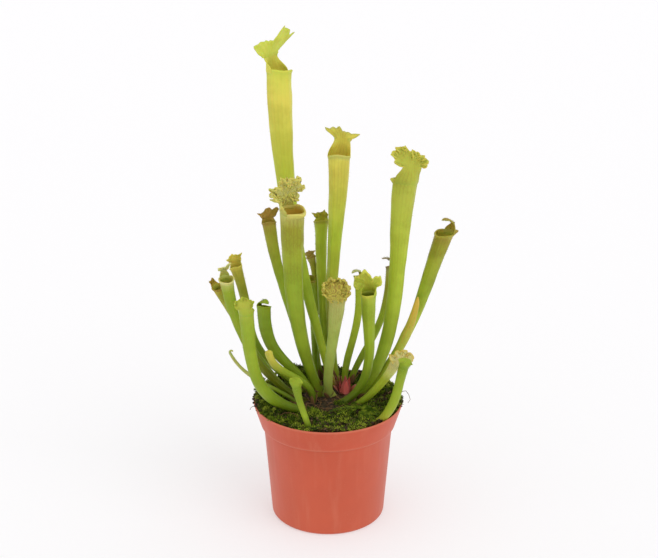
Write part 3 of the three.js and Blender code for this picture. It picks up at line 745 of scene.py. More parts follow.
# The leaves: foot, pulls and mouth of each curve; girth from foot to mouth; the compass angle
# that the mouth faces; its hood; and its tones from foot to hood.
leaves = {
    "tallest": {
        "node": "pitcher_tallest", "slot": "leaf_lime",
        "foot": (5, 27), "pulls": ((-17, 31, 184), (-37.2, 33, 238)), "mouth": (-37.8, 38, 360),
        "girth": (2.4, 4.4, 6.5, 9.8, 9.4), "faces": -40, "tilt": (0.05, 0.2),
        "hood": {"grip": 95, "neck": 11, "neckWidth": 0.8, "bend": (30, 35), "ruffle": (2, 1),
                 "frill": (11, 0.5),
                 "fan": ((-94, 8.5), (-82, 12), (-70, 21), (-64, 25.5), (-58, 24.4), (-48, 19.8),
                         (-36, 17), (-20, 13.5), (3, 13), (8, 18), (11.5, 27.4), (18, 24.5),
                         (27, 25.3), (40, 25.5), (46, 22.5), (52, 26), (56.5, 29.5), (58, 21),
                         (61, 11), (94, 8.5))},
        "look": {"tones": "lime leafGreen lime straw paleLime", "vein": "olive", "veins": 0.3,
                 "net": 0.35, "rim": "paleLime", "rimShare": 0.5, "throat": "oliveLime"},
    },
    "tallOchre": {
        "node": "pitcher_tall_ochre", "slot": "leaf_ochre",
        "foot": (8, 35), "pulls": ((-4, 38, 159), (8, 42, 222)), "mouth": (8.8, 46, 289),
        "girth": (2.4, 3.8, 5.6, 8.2, 8.8), "points": ((-110, 1.5),), "faces": -112,
        "tilt": (0, 0.26),
        "hood": {"grip": 94, "swing": 24, "neck": 16, "neckWidth": 0.76, "bend": (30, 25),
                 "ruffle": (2, 0.5), "frill": (8, 0.3),
                 "fan": ((-96, 6), (-74, 8), (-64, 14.5), (-56, 16.5), (-50, 12.5), (-37, 12),
                         (-21, 10), (-1, 12), (12, 7.5), (37, 8), (61, 10), (69, 14), (73, 17),
                         (78, 14), (91, 8.6), (114, 7))},
        "look": {"tones": "leafGreen olive lime straw butter", "veins": 0.3, "net": 0.3,
                 "throat": "straw"},
    },
    "tallRight": {
        "node": "pitcher_tall_right", "slot": "leaf_green",
        "foot": (18, 8), "pulls": ((61.5, 10, 132), (51, 13, 211)), "mouth": (60, 16, 279),
        "girth": (3, 5.3, 6.4, 9.1, 9.9), "points": ((68, 1),), "faces": 112, "tilt": (0.05, 0.1),
        "hood": {"grip": 84, "neck": 13, "neckWidth": 0.8, "bend": (30, 30), "curl": 60,
                 "curlSize": 1.6, "ruffle": (4, 1.4), "frill": (9, 1), "lobes": (9, 0.14),
                 "curls": {"rings": ((0, 11), (4, 8)), "size": (1.8, 2.9), "thick": 0.75},
                 "fan": ((-106, 7), (-92, 12), (-77, 14), (-54, 13.5), (-42, 11), (-34, 10),
                         (-15, 12), (-1, 12), (10, 10.5), (20, 11.5), (25, 18.5), (40, 18.2),
                         (46, 20.8), (58, 21.5), (75, 20.4), (90, 14), (98, 10.5))},
        "look": {"tones": "grassGreen leafGreen lime oliveLime oliveLime", "net": 0.6,
                 "rim": "straw", "throat": "darkOlive"},
    },
    "frilledLeft": {
        "node": "pitcher_frilled_left", "slot": "leaf_green",
        "foot": (-5, 13), "pulls": ((-28, 2, 156), (-28, -6, 197)), "mouth": (-27, -18, 266),
        "girth": (3.4, 5.6, 7.4, 9, 9.2), "faces": -44, "tilt": (0.1, 0.1), "points": ((0, 2),),
        "hood": {"grip": 82, "swing": 28, "neck": 7, "neckWidth": 0.8, "lean": -5,
                 "bend": (35, 30), "ruffle": (6, 2.8), "frill": (17, 1.8), "lobes": (9, 0.14),
                 "curl": 90, "curlSize": 1,
                 "curls": {"rings": ((0, 26), (5, 22), (10, 16), (15, 11), (18, 9), (21, 8)),
                           "size": (1.5, 2.7), "thick": 0.7},
                 "fan": ((-104, 8), (-56, 16), (-45, 18), (-29, 16.9), (-6, 17.7), (22, 14.4),
                         (39, 18.6), (52, 20.6), (72, 20.8), (89, 23), (99, 21), (111, 19),
                         (114, 15), (128, 11))},
        "look": {"tones": "grassGreen leafGreen leafGreen olive hay", "veins": 0.5, "net": 0.9,
                 "rim": "straw", "rimShare": 0.6, "throat": "ochre"},
    },
    "frontRuffled": {
        "node": "pitcher_front_ruffled", "slot": "leaf_pale",
        "foot": (1, 13), "pulls": ((-3, -7, 126), (6, -15, 160)), "mouth": (7, -24, 197.5),
        "girth": (3.4, 3.8, 4.4, 6.2, 7), "cleft": 0.9, "faces": 80, "splay": 0.8,
        "hood": {"grip": 85, "neck": 2, "neckWidth": 0.95, "bend": (70, 20), "ruffle": (5, 2),
                 "frill": (17, 1.5), "lobes": (7, 0.1), "curl": 200, "curlSize": 1.4,
                 "curls": {"rings": ((1, 24), (4, 20), (8, 17), (12, 15), (16, 12), (19, 10),
                                     (22, 8)),
                           "size": (1.4, 2.6), "thick": 0.66},
                 "fan": ((-80, 8), (-62, 11.5), (-53, 13.2), (-39, 14.5), (-24, 15.3), (-6, 15.8),
                         (9, 15), (24, 15.3), (40, 14.5), (55, 13), (66, 11.5), (80, 8))},
        "look": {"foot": "mist", "tones": "mist mist mist sage dusk", "veins": 0.5, "net": 0.7,
                 "rim": "butter", "rimShare": 0.5, "throat": "umber"},
    },
    "leftFront": {
        "node": "pitcher_left_front", "slot": "leaf_lime",
        "foot": (-13, -12), "pulls": ((-56, -36, 114), (-60, -30, 128)), "mouth": (-62, -44, 194),
        "girth": (2.6, 4.8, 4.6, 5.5, 5.8), "wing": 0.4, "splay": 0, "faces": 85,
        "tilt": (0.05, 0.1),
        "hood": {"grip": 80, "neck": 5, "neckWidth": 1, "bend": (30, 15), "ruffle": (3, 0.8),
                 "frill": (9, 0.7), "lobes": (3, 0.12), "curl": 120, "curlSize": 0.9,
                 "curls": {"rings": ((3, 3),), "size": (1.3, 2), "thick": 0.8},
                 "fan": ((-86, 5.8), (-58, 7.4), (-36, 9.4), (-17, 8.6), (12, 8.4), (34, 9.2),
                         (57, 8.8), (75, 7.6), (96, 6.4))},
        "look": {"tones": "deepGreen grassGreen leafGreen leafGreen oliveLime",
                 "vein": "grassGreen", "veins": 0.3, "rim": "lime", "rimShare": 0.5,
                 "throat": "darkOlive"},
    },
    "rightMiddle": {
        "node": "pitcher_right_middle", "slot": "leaf_green",
        "foot": (8, 1), "pulls": ((42, -4, 115), (31, -6, 148)), "mouth": (31.5, -12, 195.5),
        "girth": (2.6, 3.5, 4.1, 5.6, 6.1), "faces": -100, "tilt": (0.1, 0.22),
        "hood": {"grip": 128, "neck": 6, "neckWidth": 1, "bend": (50, 24), "ruffle": (4, 1.5),
                 "frill": (11, 0.8), "curl": 120, "curlSize": 1,
                 "curls": {"rings": ((2, 6), (9, 4)), "size": (1.4, 2.4), "thick": 0.6},
                 "fan": ((-125, 11), (-108, 12.6), (-84, 12.4), (-63, 12.9), (-40, 12.7),
                         (-22, 14.4), (-7, 13.2), (6, 9), (24, 9.3), (38, 11), (64, 10.5),
                         (90, 8.5), (121, 6))},
        "look": {"foot": "darkOlive", "tones": "deepGreen grassGreen leafGreen leafGreen paleLime",
                 "veins": 0.35, "rim": "straw", "rimShare": 0.5, "throat": "darkOlive"},
    },
    "leftHooked": {
        "node": "pitcher_left_hooked", "slot": "leaf_olive",
        "foot": (-10, 8), "pulls": ((-22, 1, 134), (-52, -1, 129)), "mouth": (-50, -10, 184),
        "girth": (2.4, 3.4, 4.5, 5.3, 5.3), "faces": -30, "tilt": (0.05, 0.5),
        "hood": {"grip": 40, "neck": 6, "neckWidth": 0.3, "bend": (130, 13), "cup": 0.5,
                 "ruffle": (2, 0.4),
                 "fan": ((-95, 2.5), (-50, 4.5), (-15, 6.5), (0, 7), (15, 6.5), (50, 4.5),
                         (95, 2.5))},
        "look": {"tones": "grassGreen grassGreen grassGreen grassGreen leafGreen",
                 "vein": "darkOlive", "rim": "grassGreen", "throat": "grassGreen"},
    },
    "brownSlim": {
        "node": "pitcher_brown_slim", "slot": "leaf_brown",
        "foot": (-9, 24), "pulls": ((-22, 27, 142), (-41, 31, 188)), "mouth": (-47, 34, 238),
        "girth": (2.2, 3, 3.6, 5, 5.5), "faces": -80, "tilt": (0.05, 0.3),
        "hood": {"grip": 80, "neck": 4, "neckWidth": 0.85, "bend": (20, 15), "ruffle": (3, 0.5),
                 "frill": (7, 0.4),
                 "fan": ((-92, 4.5), (-68, 6.5), (-60, 9.5), (-50, 6.8), (-28, 6.6), (11, 9.2),
                         (32, 8.1), (48, 11.7), (60, 11.5), (71, 8.5), (92, 5))},
        "look": {"tones": "leafGreen leafGreen leafGreen olive dusk", "veins": 0.45,
                 "rim": "umber", "rimShare": 0.5, "throat": "dusk"},
    },
    "leftUpper": {
        "node": "pitcher_left_upper", "slot": "leaf_olive",
        "foot": (-15, 20), "pulls": ((-76, 22, 141), (-55, 22, 142)), "mouth": (-73.5, 24, 204),
        "girth": (2.2, 3.2, 3.2, 3.9, 5), "faces": -95, "tilt": (0, 0.2),
        "hood": {"grip": 80, "neck": 4, "neckWidth": 0.85, "bend": (30, 12), "ruffle": (3, 0.8),
                 "frill": (8, 0.5),
                 "fan": ((-102, 4.9), (-74, 6), (-64, 7.5), (-40, 6.6), (-22, 7), (16, 7.6),
                         (44, 8), (51, 10.5), (58, 6.5), (100, 4.4))},
        "look": {"tones": "grassGreen grassGreen leafGreen olive straw", "veins": 0.5, "net": 0.8,
                 "rim": "straw", "rimShare": 0.6, "throat": "dusk"},
    },
    "leftOuter": {
        "node": "pitcher_left_outer", "slot": "leaf_olive",
        "foot": (-16, 4), "pulls": ((-54, -1, 118), (-73, -3, 152)), "mouth": (-79, -8, 206),
        "girth": (2.2, 3.2, 3.2, 4.9, 5.7), "faces": -70, "tilt": (0.3, 0.1),
        "hood": {"grip": 44, "neck": 5, "neckWidth": 0.4, "bend": (70, 16), "cup": 0.3,
                 "ruffle": (3, 0.8),
                 "curls": {"rings": ((1, 3),), "size": (1.8, 2.8), "thick": 0.6},
                 "fan": ((-90, 2.5), (-55, 6), (-40, 8), (-25, 4), (0, 5), (20, 6), (38, 10),
                         (52, 6), (90, 2.5))},
        "look": {"tones": "deepGreen darkOlive leafGreen leafGreen hay", "vein": "darkOlive",
                 "veins": 0.35, "rim": "cream", "rimShare": 0.5},
    },
    "leftRear": {
        "node": "pitcher_left_rear", "slot": "leaf_brown",
        "foot": (-22, 11), "pulls": ((-55, 11, 117), (-68.5, 10, 157)), "mouth": (-88, 10, 192.5),
        "girth": (2, 2.4, 2.5, 3.7, 4), "faces": -60, "tilt": (0.5, 0),
        "hood": {"grip": 50, "neck": 2, "bend": (60, 9),
                 "fan": ((-90, 2), (-45, 4), (-12, 2.5), (10, 5), (40, 3), (90, 2))},
        "look": {"tones": "grassGreen leafGreen leafGreen olive ochre", "rim": "umber"},
    },
    "backMiddle": {
        "node": "pitcher_back_middle", "slot": "leaf_green",
        "foot": (1, 35), "pulls": ((-4, 42, 139), (-6, 50, 184)), "mouth": (-5.5, 58, 230),
        "girth": (2.4, 3.2, 4, 4.9, 5.8), "faces": -95, "tilt": (0, 0.3),
        "hood": {"grip": 85, "neck": 5, "neckWidth": 0.85, "bend": (20, 15), "ruffle": (3, 0.5),
                 "frill": (7, 0.3),
                 "fan": ((-100, 5), (-76, 7), (-67, 9.5), (-58, 6), (-18, 4.5), (10, 5.2), (19, 7),
                         (32, 5.5), (60, 6), (100, 4))},
        "look": {"tones": "leafGreen leafGreen lime lime oliveLime", "veins": 0.35, "rim": "umber",
                 "rimShare": 0.5, "throat": "ochre"},
    },
    "backBrown": {
        "node": "pitcher_back_brown", "slot": "leaf_brown",
        "foot": (-3, 41), "pulls": ((-17, 47, 129), (-4, 53, 170)), "mouth": (-14, 58, 200),
        "girth": (2, 2.2, 2.4, 2.6, 3.6), "faces": -80, "tilt": (0, 0.2),
        "hood": {"grip": 70, "neck": 2.5, "neckWidth": 0.9, "bend": (30, 8), "ruffle": (3, 0.4),
                 "fan": ((-95, 3), (-75, 6.5), (-60, 4), (-20, 3), (0, 3.5), (25, 3), (62, 4),
                         (76, 5.5), (95, 3))},
        "look": {"tones": "grassGreen leafGreen leafGreen olive wheat", "vein": "bark",
                 "rim": "umber", "throat": "dusk"},
    },
    "backLow": {
        "node": "pitcher_back_low", "slot": "leaf_brown",
        "foot": (-10, 34), "pulls": ((-11, 37, 122), (-11, 41, 152)), "mouth": (-14.5, 44, 184),
        "girth": (2, 2.4, 2.8, 3.6, 4), "faces": -90, "tilt": (0, 0.15),
        "hood": {"grip": 70, "neck": 2, "neckWidth": 0.9, "bend": (30, 8), "ruffle": (3, 0.4),
                 "fan": ((-95, 3), (-72, 6), (-55, 3.5), (0, 3), (55, 3.5), (72, 5.5), (95, 3))},
        "look": {"tones": "grassGreen grassGreen leafGreen grassGreen olive", "vein": "bark",
                 "rim": "umber", "throat": "umber"},
    },
    "rightSlim": {
        "node": "pitcher_right_slim", "slot": "leaf_green",
        "foot": (14, 27), "pulls": ((11, 32, 127), (30, 35, 142)), "mouth": (24.5, 42, 189.5),
        "girth": (2.3, 2.9, 3, 3.3, 3.6), "faces": -150, "tilt": (0, 0.3),
        "hood": {"grip": 50, "neck": 5, "neckWidth": 0.45, "bend": (130, 12), "cup": 0.5,
                 "ruffle": (2, 0.4),
                 "fan": ((-95, 2.5), (-50, 4.5), (-15, 7), (0, 7.5), (15, 7), (50, 4.5),
                         (95, 2.5))},
        "look": {"tones": "grassGreen leafGreen lime lime sage", "vein": "olive"},
    },
    "rightRear": {
        "node": "pitcher_right_rear", "slot": "leaf_olive",
        "foot": (17, 33), "pulls": ((27, 41, 130), (49.5, 43, 135)), "mouth": (50.5, 54, 193),
        "girth": (2.2, 2.6, 2.7, 2.9, 3.1), "faces": -170, "tilt": (0.1, 0.3),
        "hood": {"grip": 36, "neck": 7, "neckWidth": 0.2, "bend": (130, 16), "cup": 0.6,
                 "fan": ((-80, 1.2), (-35, 3), (-12, 6), (0, 7), (12, 6), (35, 3), (80, 1.2))},
        "look": {"tones": "grassGreen leafGreen leafGreen olive grey", "rim": "umber",
                 "throat": "umber"},
    },
    "rightOuter": {
        "node": "pitcher_right_outer", "slot": "leaf_green",
        "foot": (23, 24), "pulls": ((69, 27, 125), (74.5, 29, 179)), "mouth": (93, 32, 230),
        "girth": (2.4, 3.1, 5, 6.8, 7.1), "points": ((160, 3),), "faces": -150,
        "tilt": (0.5, 0.05),
        "hood": {"neck": 7.5, "neckWidth": 0.3, "bend": (120, 17), "cup": 0.5, "ruffle": (2, 0.8),
                 "lobes": (3, 0.3),
                 "curls": {"rings": ((1, 3),), "size": (1, 1.8), "thick": 0.5},
                 "fan": ((-95, 3), (-50, 4), (-14, 10), (0, 12), (14, 10), (50, 4), (95, 3))},
        "look": {"tones": "leafGreen lime leafGreen olive dusk", "veins": 0.5, "net": 0.8,
                 "cloud": 0.4, "rim": "olive"},
    },
    "witheredPitcher": {
        "node": "pitcher_withered", "slot": "leaf_withered",
        "foot": (19, -2), "pulls": ((35, -7, 104), (46, -13, 123)), "mouth": (54, -18, 140),
        "girth": (2.4, 3, 3.2, 4.2, 5), "faces": 110, "tilt": (0, 0.2),
        "hood": {"grip": 85, "neck": 4, "neckWidth": 1.1, "bend": (50, 16), "ruffle": (4, 2.4),
                 "frill": (9, 1.2), "lobes": (5, 0.2),
                 "curls": {"rings": ((2, 8),), "size": (1.2, 2.4), "thick": 0.6},
                 "fan": ((-105, 9), (-70, 12), (-30, 11), (0, 10), (35, 11), (70, 12), (105, 9))},
        "look": {"tones": "grassGreen leafGreen lime cream cream", "vein": "rust", "net": 0.7,
                 "spots": 0.8, "rim": "ochre", "throat": "rust"},
    },
    "shortRight": {
        "node": "pitcher_short_right", "slot": "leaf_green",
        "foot": (38, -33), "pulls": ((56, -35, 110), (54, -36, 131)), "mouth": (59.5, -38, 148),
        "girth": (2.8, 3.8, 3.5, 3.9, 4.4), "faces": 100, "tilt": (0, 0.2),
        "hood": {"grip": 95, "neck": 1.5, "neckWidth": 1.15, "bend": (120, 8), "ruffle": (2, 0.3),
                 "cup": 0.5,
                 "fan": ((-100, 4.5), (-50, 4.5), (0, 5), (45, 6.5), (72, 8), (100, 6))},
        "look": {"tones": "olive leafGreen leafGreen grassGreen leafGreen", "vein": "olive",
                 "throat": "darkOlive"},
    },
    "shortFront": {
        "node": "pitcher_short_front", "slot": "leaf_lime",
        "foot": (-14, -47), "pulls": ((-17, -47, 107), (-24, -46, 120)),
        "mouth": (-24.5, -46, 134.5),
        "girth": (2.2, 2.4, 2.7, 3.6, 4.3), "faces": 80, "tilt": (0, 0.2),
        "hood": {"grip": 85, "neck": 1.5, "neckWidth": 1.15, "bend": (110, 9), "cup": 0.6,
                 "ruffle": (2, 0.4),
                 "fan": ((-95, 6), (-50, 5), (0, 5), (50, 6), (95, 4))},
        "look": {"tones": "deepGreen leafGreen grassGreen grassGreen leafGreen", "vein": "olive",
                 "rim": "lime", "throat": "darkOlive"},
    },
    "yellowTip": {
        "node": "leaf_yellow_tip", "slot": "leaf_ochre",
        "foot": (-12, -1), "pulls": ((-8, -7, 125), (-43, -15, 123)), "mouth": (-46.5, -20, 149),
        "girth": (2, 2.6, 3.2, 2.9, 3.2), "faces": 100, "flat": 0.35,
        "look": {"tones": "deepGreen grassGreen leafGreen straw straw", "veins": 0.3,
                 "rim": "amber"},
    },
    "witheredTip": {
        "node": "leaf_withered_tip", "slot": "leaf_withered",
        "foot": (25, 16), "pulls": ((48, 13, 116), (67, 9, 152)), "mouth": (71, 6, 185),
        "girth": (2.2, 3, 4.4, 2.4, 0.8), "faces": 100, "flat": 0.4,
        "look": {"tones": "grassGreen leafGreen oliveLime ochre ochre", "vein": "amber",
                 "veins": 0.9, "count": 5, "net": 0.4, "spots": 0.6, "rim": "amber"},
    },
    "tendril": {
        "node": "leaf_tendril", "slot": "leaf_green",
        "foot": (-21, -2), "pulls": ((-40, -7, 115), (-65, -11, 118)), "mouth": (-77, -16, 147),
        "girth": (1.5, 1.6, 1.4, 1.2, 1.1), "faces": 0, "tip": (2, 160),
        "look": {"tones": "deepGreen grassGreen sage sage sage", "vein": "olive", "veins": 0.2},
    },
}


# The pot: a thin moulded shell, a flared collar over a stepped shoulder, drain holes below.
pot = {
    "height": 99, "rimRadius": 60, "collarHeight": 19, "collarFootRadius": 54.4,
    "bodyTopRadius": 52, "baseRadius": 46, "shoulder": 1.8, "baseCorner": 3, "cornerSteps": 8,
    "wall": 1.2, "floor": 1.6, "drainHoles": 8, "drainRadius": 3.5, "drainCircle": 33,
    "drainSides": 24, "spinSteps": 144,
    # The pale colour serves dust, flow marks and worn edges, and on the edges it is also a painted
    # highlight.
    "colour": paint(200, 82, 50), "dustAndSheen": paint(212, 134, 106), "deep": paint(172, 64, 36),
}
shoulderTop = pot["height"] - pot["collarHeight"]
shoulderFoot = shoulderTop - pot["shoulder"]


def potInside(height):
    if height < shoulderTop:
        share = height / shoulderFoot
        return pot["baseRadius"] + (pot["bodyTopRadius"] - pot["baseRadius"]) * share - pot["wall"]
    share = (height - shoulderTop) / pot["collarHeight"]
    collar = pot["rimRadius"] - pot["collarFootRadius"]
    return pot["collarFootRadius"] + collar * share - pot["wall"]


def potFinish():
    finish, tree = startFinish("moulded_terracotta_plastic")
    place = objectPlace(tree)
    cloud = useGroup(tree, mottle, Scale=22.0, Low=0.3, High=0.7)["Mask"]
    base = blendColour(tree, times(tree, cloud, 0.3), pot["colour"], pot["deep"])
    # Faint flow marks run up the wall, dust and dried splashes gather on it, and the edges are
    # paler: partly wear, partly a painted highlight.
    stretched = addNode(tree, "ShaderNodeMapping")
    plug(tree, place, stretched.inputs["Vector"])
    stretched.inputs["Scale"].default_value = (1, 1, 0.08)
    flow = noiseOf(tree, stretched.outputs[0], 160.0)
    dust = useGroup(tree, spots, Scale=900.0, Size=0.3, Cover=0.5)["Mask"]
    for mask, share in ((remap(tree, flow, 0.45, 0.75), 0.16), (dust, 0.45),
                        (maskOf(tree, "rim"), 0.35)):
        base = blendColour(tree, times(tree, mask, share), base, pot["dustAndSheen"])
    rough = maths(tree, "ADD", remap(tree, flow, 0.3, 0.7, 0.38, 0.5), times(tree, dust, 0.2))
    grain = maths(tree, "ADD", noiseOf(tree, place, 1400.0, 2.0), times(tree, flow, 0.6))
    return coat(finish, base, rough, bumpOf(tree, grain, 0.1, 0.0002), 0.4)


def makePot():
    height, corner, wall, floor = (pot[key] for key in ("height", "baseCorner", "wall", "floor"))
    base, bodyTop, collarFoot, rim = (
        pot[key + "Radius"] for key in ("base", "bodyTop", "collarFoot", "rim"))
    # Each point of the outline: radius, height, and how pale its edge is painted, partly wear and
    # partly a painted highlight.
    outline = [(0, 0, 0), (base - corner, 0, 0)]
    for i in range(1, pot["cornerSteps"] + 1):
        turn = math.pi / 2 * i / pot["cornerSteps"]
        outline.append((base - corner + corner * math.sin(turn),
                        corner - corner * math.cos(turn), 0.3))
    outline += [
        (bodyTop - 0.1, shoulderFoot - 0.6, 0), (bodyTop + 0.25, shoulderFoot, 0.2),
        (collarFoot - 0.35, shoulderTop - 0.45, 0.5), (collarFoot, shoulderTop, 1),
        (collarFoot + 0.15, shoulderTop + 0.5, 0.5), (collarFoot + 0.45, shoulderTop + 1.5, 0),
        (rim - 0.25, height - 2, 0), (rim, height - 1, 0.7), (rim - 0.1, height - 0.4, 1),
        (rim - 0.35, height - 0.05, 1), (rim - 0.9, height, 1), (rim - wall, height - 0.35, 0.6),
        (potInside(shoulderTop), shoulderTop + 0.5, 0), (bodyTop - wall, shoulderFoot + 0.5, 0),
        (base - wall, corner, 0), (base - corner, floor, 0), (0, floor, 0),
    ]
    shape = startShape()
    wornAndLit = shape.verts.layers.float["rim"]
    points = []
    for radius, level, wearAndHighlight in outline:
        points.append(shape.verts.new((radius, 0, level)))
        points[-1][wornAndLit] = wearAndHighlight
    edges = [shape.edges.new(pair) for pair in zip(points, points[1:])]
    bmesh.ops.spin(shape, geom=points + edges, cent=(0, 0, 0), axis=(0, 0, 1),
                   angle=fullTurn, steps=pot["spinSteps"], use_merge=True)
    bmesh.ops.remove_doubles(shape, verts=shape.verts, dist=weldDistance)
    pointOutwards(shape, shape.faces)
    cutDrains(finishPiece("nursery_pot", shape, potFinish(), "pot", "terracotta_plastic"))


def cutDrains(piece):
    drills = bmesh.new()
    for i in range(pot["drainHoles"]):
        place = polar(1, fullTurn * i / pot["drainHoles"]) * pot["drainCircle"]
        bmesh.ops.create_cone(drills, cap_ends=True, segments=pot["drainSides"],
                              radius1=pot["drainRadius"], radius2=pot["drainRadius"],
                              depth=pot["floor"] * 3, matrix=Matrix.Translation(place))
    bmesh.ops.scale(drills, vec=(metresPerMm,) * 3, verts=drills.verts)
    cutter = addObject("drills", meshFrom(drills, "drills"))
    cut = piece.modifiers.new("drains", "BOOLEAN")
    cut.operation = "DIFFERENCE"
    cut.solver = "EXACT"
    cut.object = cutter
    drilled = bpy.data.meshes.new_from_object(
        piece.evaluated_get(bpy.context.evaluated_depsgraph_get()))
    piece.modifiers.clear()
    piece.data = drilled
    drilled.shade_smooth()
    bpy.data.objects.remove(cutter)


# Moss and peat. The carpet is a closed disc of lumps; its cushions rise where the photo has
# them, and it dips where the crown comes through. Each mound: place, radius and rise.
moss = {
    "level": 96.5, "lump": 1.3, "dipLevel": 93.6, "climb": 2.2, "peatTop": 88,
    "rings": 90, "sides": 180,
    "mounds": [(-55, 2, 13, 8), (-30, 46, 17, 9), (2, 52, 20, 5), (50, 8, 12, 5), (-2, -50, 18, 2),
               (22, -40, 16, 1.5), (-39, 15, 19, 9), (44, 24, 13, 6)],
}
crown = {"x": 1, "y": 15, "halfWidth": 29, "halfDepth": 31, "edgeTop": 95, "crownTop": 97.5,
         "rings": 40, "sides": 96}
bedFoot = moss["peatTop"] + seatGap


# A closed form laid in rings. place takes the turn and the row, and gives the point.
def closedShape(columns, rows, place):
    shape = startShape()
    pointOutwards(shape, wrapGrid(
        shape, columns, rows, lambda around, row: (place(fullTurn * around, row),)))
    return shape


def lumps(x, y):
    first = math.sin(x * 0.31 + 1.3) * math.cos(y * 0.27 - 0.4)
    second = math.sin(x * 0.13 - y * 0.19 + 2.1)
    third = math.sin(x * 0.52 + y * 0.44) * math.sin(y * 0.61 - x * 0.2 + 0.7)
    return 0.45 * first + 0.3 * second + 0.35 * third


def crownShare(x, y):
    return math.hypot((x - crown["x"]) / crown["halfWidth"], (y - crown["y"]) / crown["halfDepth"])


def mossHeight(x, y):
    height = moss["level"] + moss["lump"] * lumps(x, y)
    for cx, cy, radius, rise in moss["mounds"]:
        away = math.hypot(x - cx, y - cy) / radius
        if away < 1:
            height += rise * (1 - away * away) ** 2
    return height


# The moss dips where the crown comes through, and climbs a little towards the rim.
def mossSurface(x, y):
    dip = 1 - smoothStep(0.86, 1.04, crownShare(x, y))
    fine = noise.noise(Vector((x, y, 0)) * 0.35) + noise.noise(Vector((x, y, 9)) * 1.1) * 0.5
    climb = moss["climb"] * smoothStep(0.8, 0.97, math.hypot(x, y) / potInside(moss["level"]))
    return mossHeight(x, y) * (1 - dip) + moss["dipLevel"] * dip + fine + climb


def crownHeight(x, y):
    share = min(crownShare(x, y), 1)
    knobs = 0.7 * math.sin(x * 0.9 + 0.5) * math.sin(y * 0.8 - 0.3)
    top = crown["edgeTop"] + (crown["crownTop"] - crown["edgeTop"]) * (1 - share ** 3)
    return top + knobs * (1 - share) + noise.noise(Vector((x, y, 2)) * 0.4) * 0.9


def groundAt(x, y):
    return mossSurface(x, y) if crownShare(x, y) > 1 else crownHeight(x, y)


def makeMossBed():
    outer, footRadius = (potInside(level) - seatGap for level in (moss["level"] - 4, bedFoot))
    rings = moss["rings"]

    def place(turn, row):
        if row <= rings:
            radius = outer * row / rings
            x, y = radius * math.cos(turn), radius * math.sin(turn)
            return Vector((x, y, mossSurface(x, y)))
        return polar(footRadius if row == rings + 1 else 0, turn, bedFoot)

    bed = closedShape(moss["sides"], rings + 2, place)
    finishPiece("moss_bed", bed, mossFinish(), "moss_carpet", "moss")


mossLook = {
    "soil": paint(36, 26, 14), "dark": paint(18, 26, 2), "middle": paint(66, 92, 8),
    "bright": paint(134, 162, 24), "tip": paint(196, 212, 66),
}


def mossFinish():
    finish, tree = startFinish("moss_and_peat")
    place = objectPlace(tree)
    patch = useGroup(tree, mottle, Scale=38.0, Low=0.4, High=0.58)["Mask"]
    grain = noiseOf(tree, place, 420.0, 4.0)
    green = blendColour(tree, remap(tree, grain, 0.35, 0.7), mossLook["dark"], mossLook["middle"])
    soil = blendColour(tree, remap(tree, grain, 0.4, 0.75), mossLook["soil"], tones["bark"])
    relief = bumpOf(tree, maths(tree, "ADD", grain, cellsOf(tree, place, 700.0)), 0.8, 0.0012)
    return coat(finish, blendColour(tree, patch, soil, green), 0.9, relief, 0.1)


# Tufts: small sprigs of pointed leaves. The tone mask runs from a sprig's foot to its tips.
def tuftFinish(name, low, high):
    finish, tree = startFinish(name)
    cloud = useGroup(tree, mottle, Scale=170.0, Low=0.4, High=0.6)["Mask"]
    tips = blendColour(tree, cloud, mossLook[high], mossLook["middle"])
    base = blendColour(tree, maths(tree, "POWER", maskOf(tree, "tone"), 1.5), mossLook[low], tips)
    speckle = noiseOf(tree, objectPlace(tree), 900.0)
    return coat(finish, base, 0.6, bumpOf(tree, speckle, 0.3, 0.0002), 0.12)


def turnBy(angle, axis):
    return Matrix.Rotation(angle, 4, axis)


def sprigMesh(name, whorls, length, thickness):
    shape = startShape()
    tone = shape.verts.layers.float["tone"]
    for spikes, spread in whorls:
        for i in range(spikes):
            turned = turnBy(fullTurn * i / spikes + spread, "Z") @ turnBy(math.radians(spread), "Y")
            for corner in addSpike(shape, thickness, length, turned):
                corner[tone] = smoothStep(0.1, length, corner.co.length)
    return meshFrom(shape, name)


# whorls lists the spikes of each sprig from the outside in, and how far they spread.
tufts = {
    "front": 230, "back": 400, "tries": 9000, "gap": 2.9, "length": 3.7, "thickness": 0.95,
    "whorls": ((6, 72), (4, 36), (1, 4)), "frontSize": (0.6, 1.2), "backSize": (0.7, 1.3),
    "lean": 0.5, "sunk": 0.8, "edgeGap": 0.4,
    # Sprigs that hang over the rim: compass angles from and to, how many, and how high.
    "overRim": [(150, 218, 120, 105), (-12, 4, 14, 102), (95, 140, 50, 103), (20, 48, 30, 103)],
    "rimRadii": (52, 59.5), "rimFrom": 97.5, "rimLean": 0.9, "rimSize": (0.45, 0.8),
    # Small clumps that hide the feet of the leaves lying in the moss.
    "clumps": [(7, -4), (21, -6), (11, -5), (-14, -14), (-12, -17), (24, -5)], "perClump": 7,
    "clumpLean": 0.9, "clumpSpread": (1.8, 1.5), "clumpSize": (0.6, 1),
}


# Sprigs stand apart, so that dark gaps show between them.
def tuftPlaces(rng, count, accept, size, taken):
    places = []
    outer, tip = potInside(moss["level"]) - tufts["edgeGap"], tufts["lean"]
    for _ in range(tufts["tries"]):
        x, y = rng.uniform(-outer, outer), rng.uniform(-outer, outer)
        if math.hypot(x, y) > outer or crownShare(x, y) < 0.9 + rng.uniform(0, 0.12):
            continue
        near = any(math.hypot(x - px, y - py) < tufts["gap"] for px, py in taken)
        if near or not accept(x, y) or len(places) == count:
            continue
        taken.append((x, y))
        lean = turnBy(rng.uniform(-tip, tip), "X") @ turnBy(rng.uniform(-tip, tip), "Y")
        grow = Matrix.Scale(rng.uniform(*size), 4)
        place = Matrix.Translation((x, y, mossSurface(x, y) - tufts["sunk"])) @ lean
        places.append(place @ turnBy(rng.uniform(0, fullTurn), "Z") @ grow)
    return places


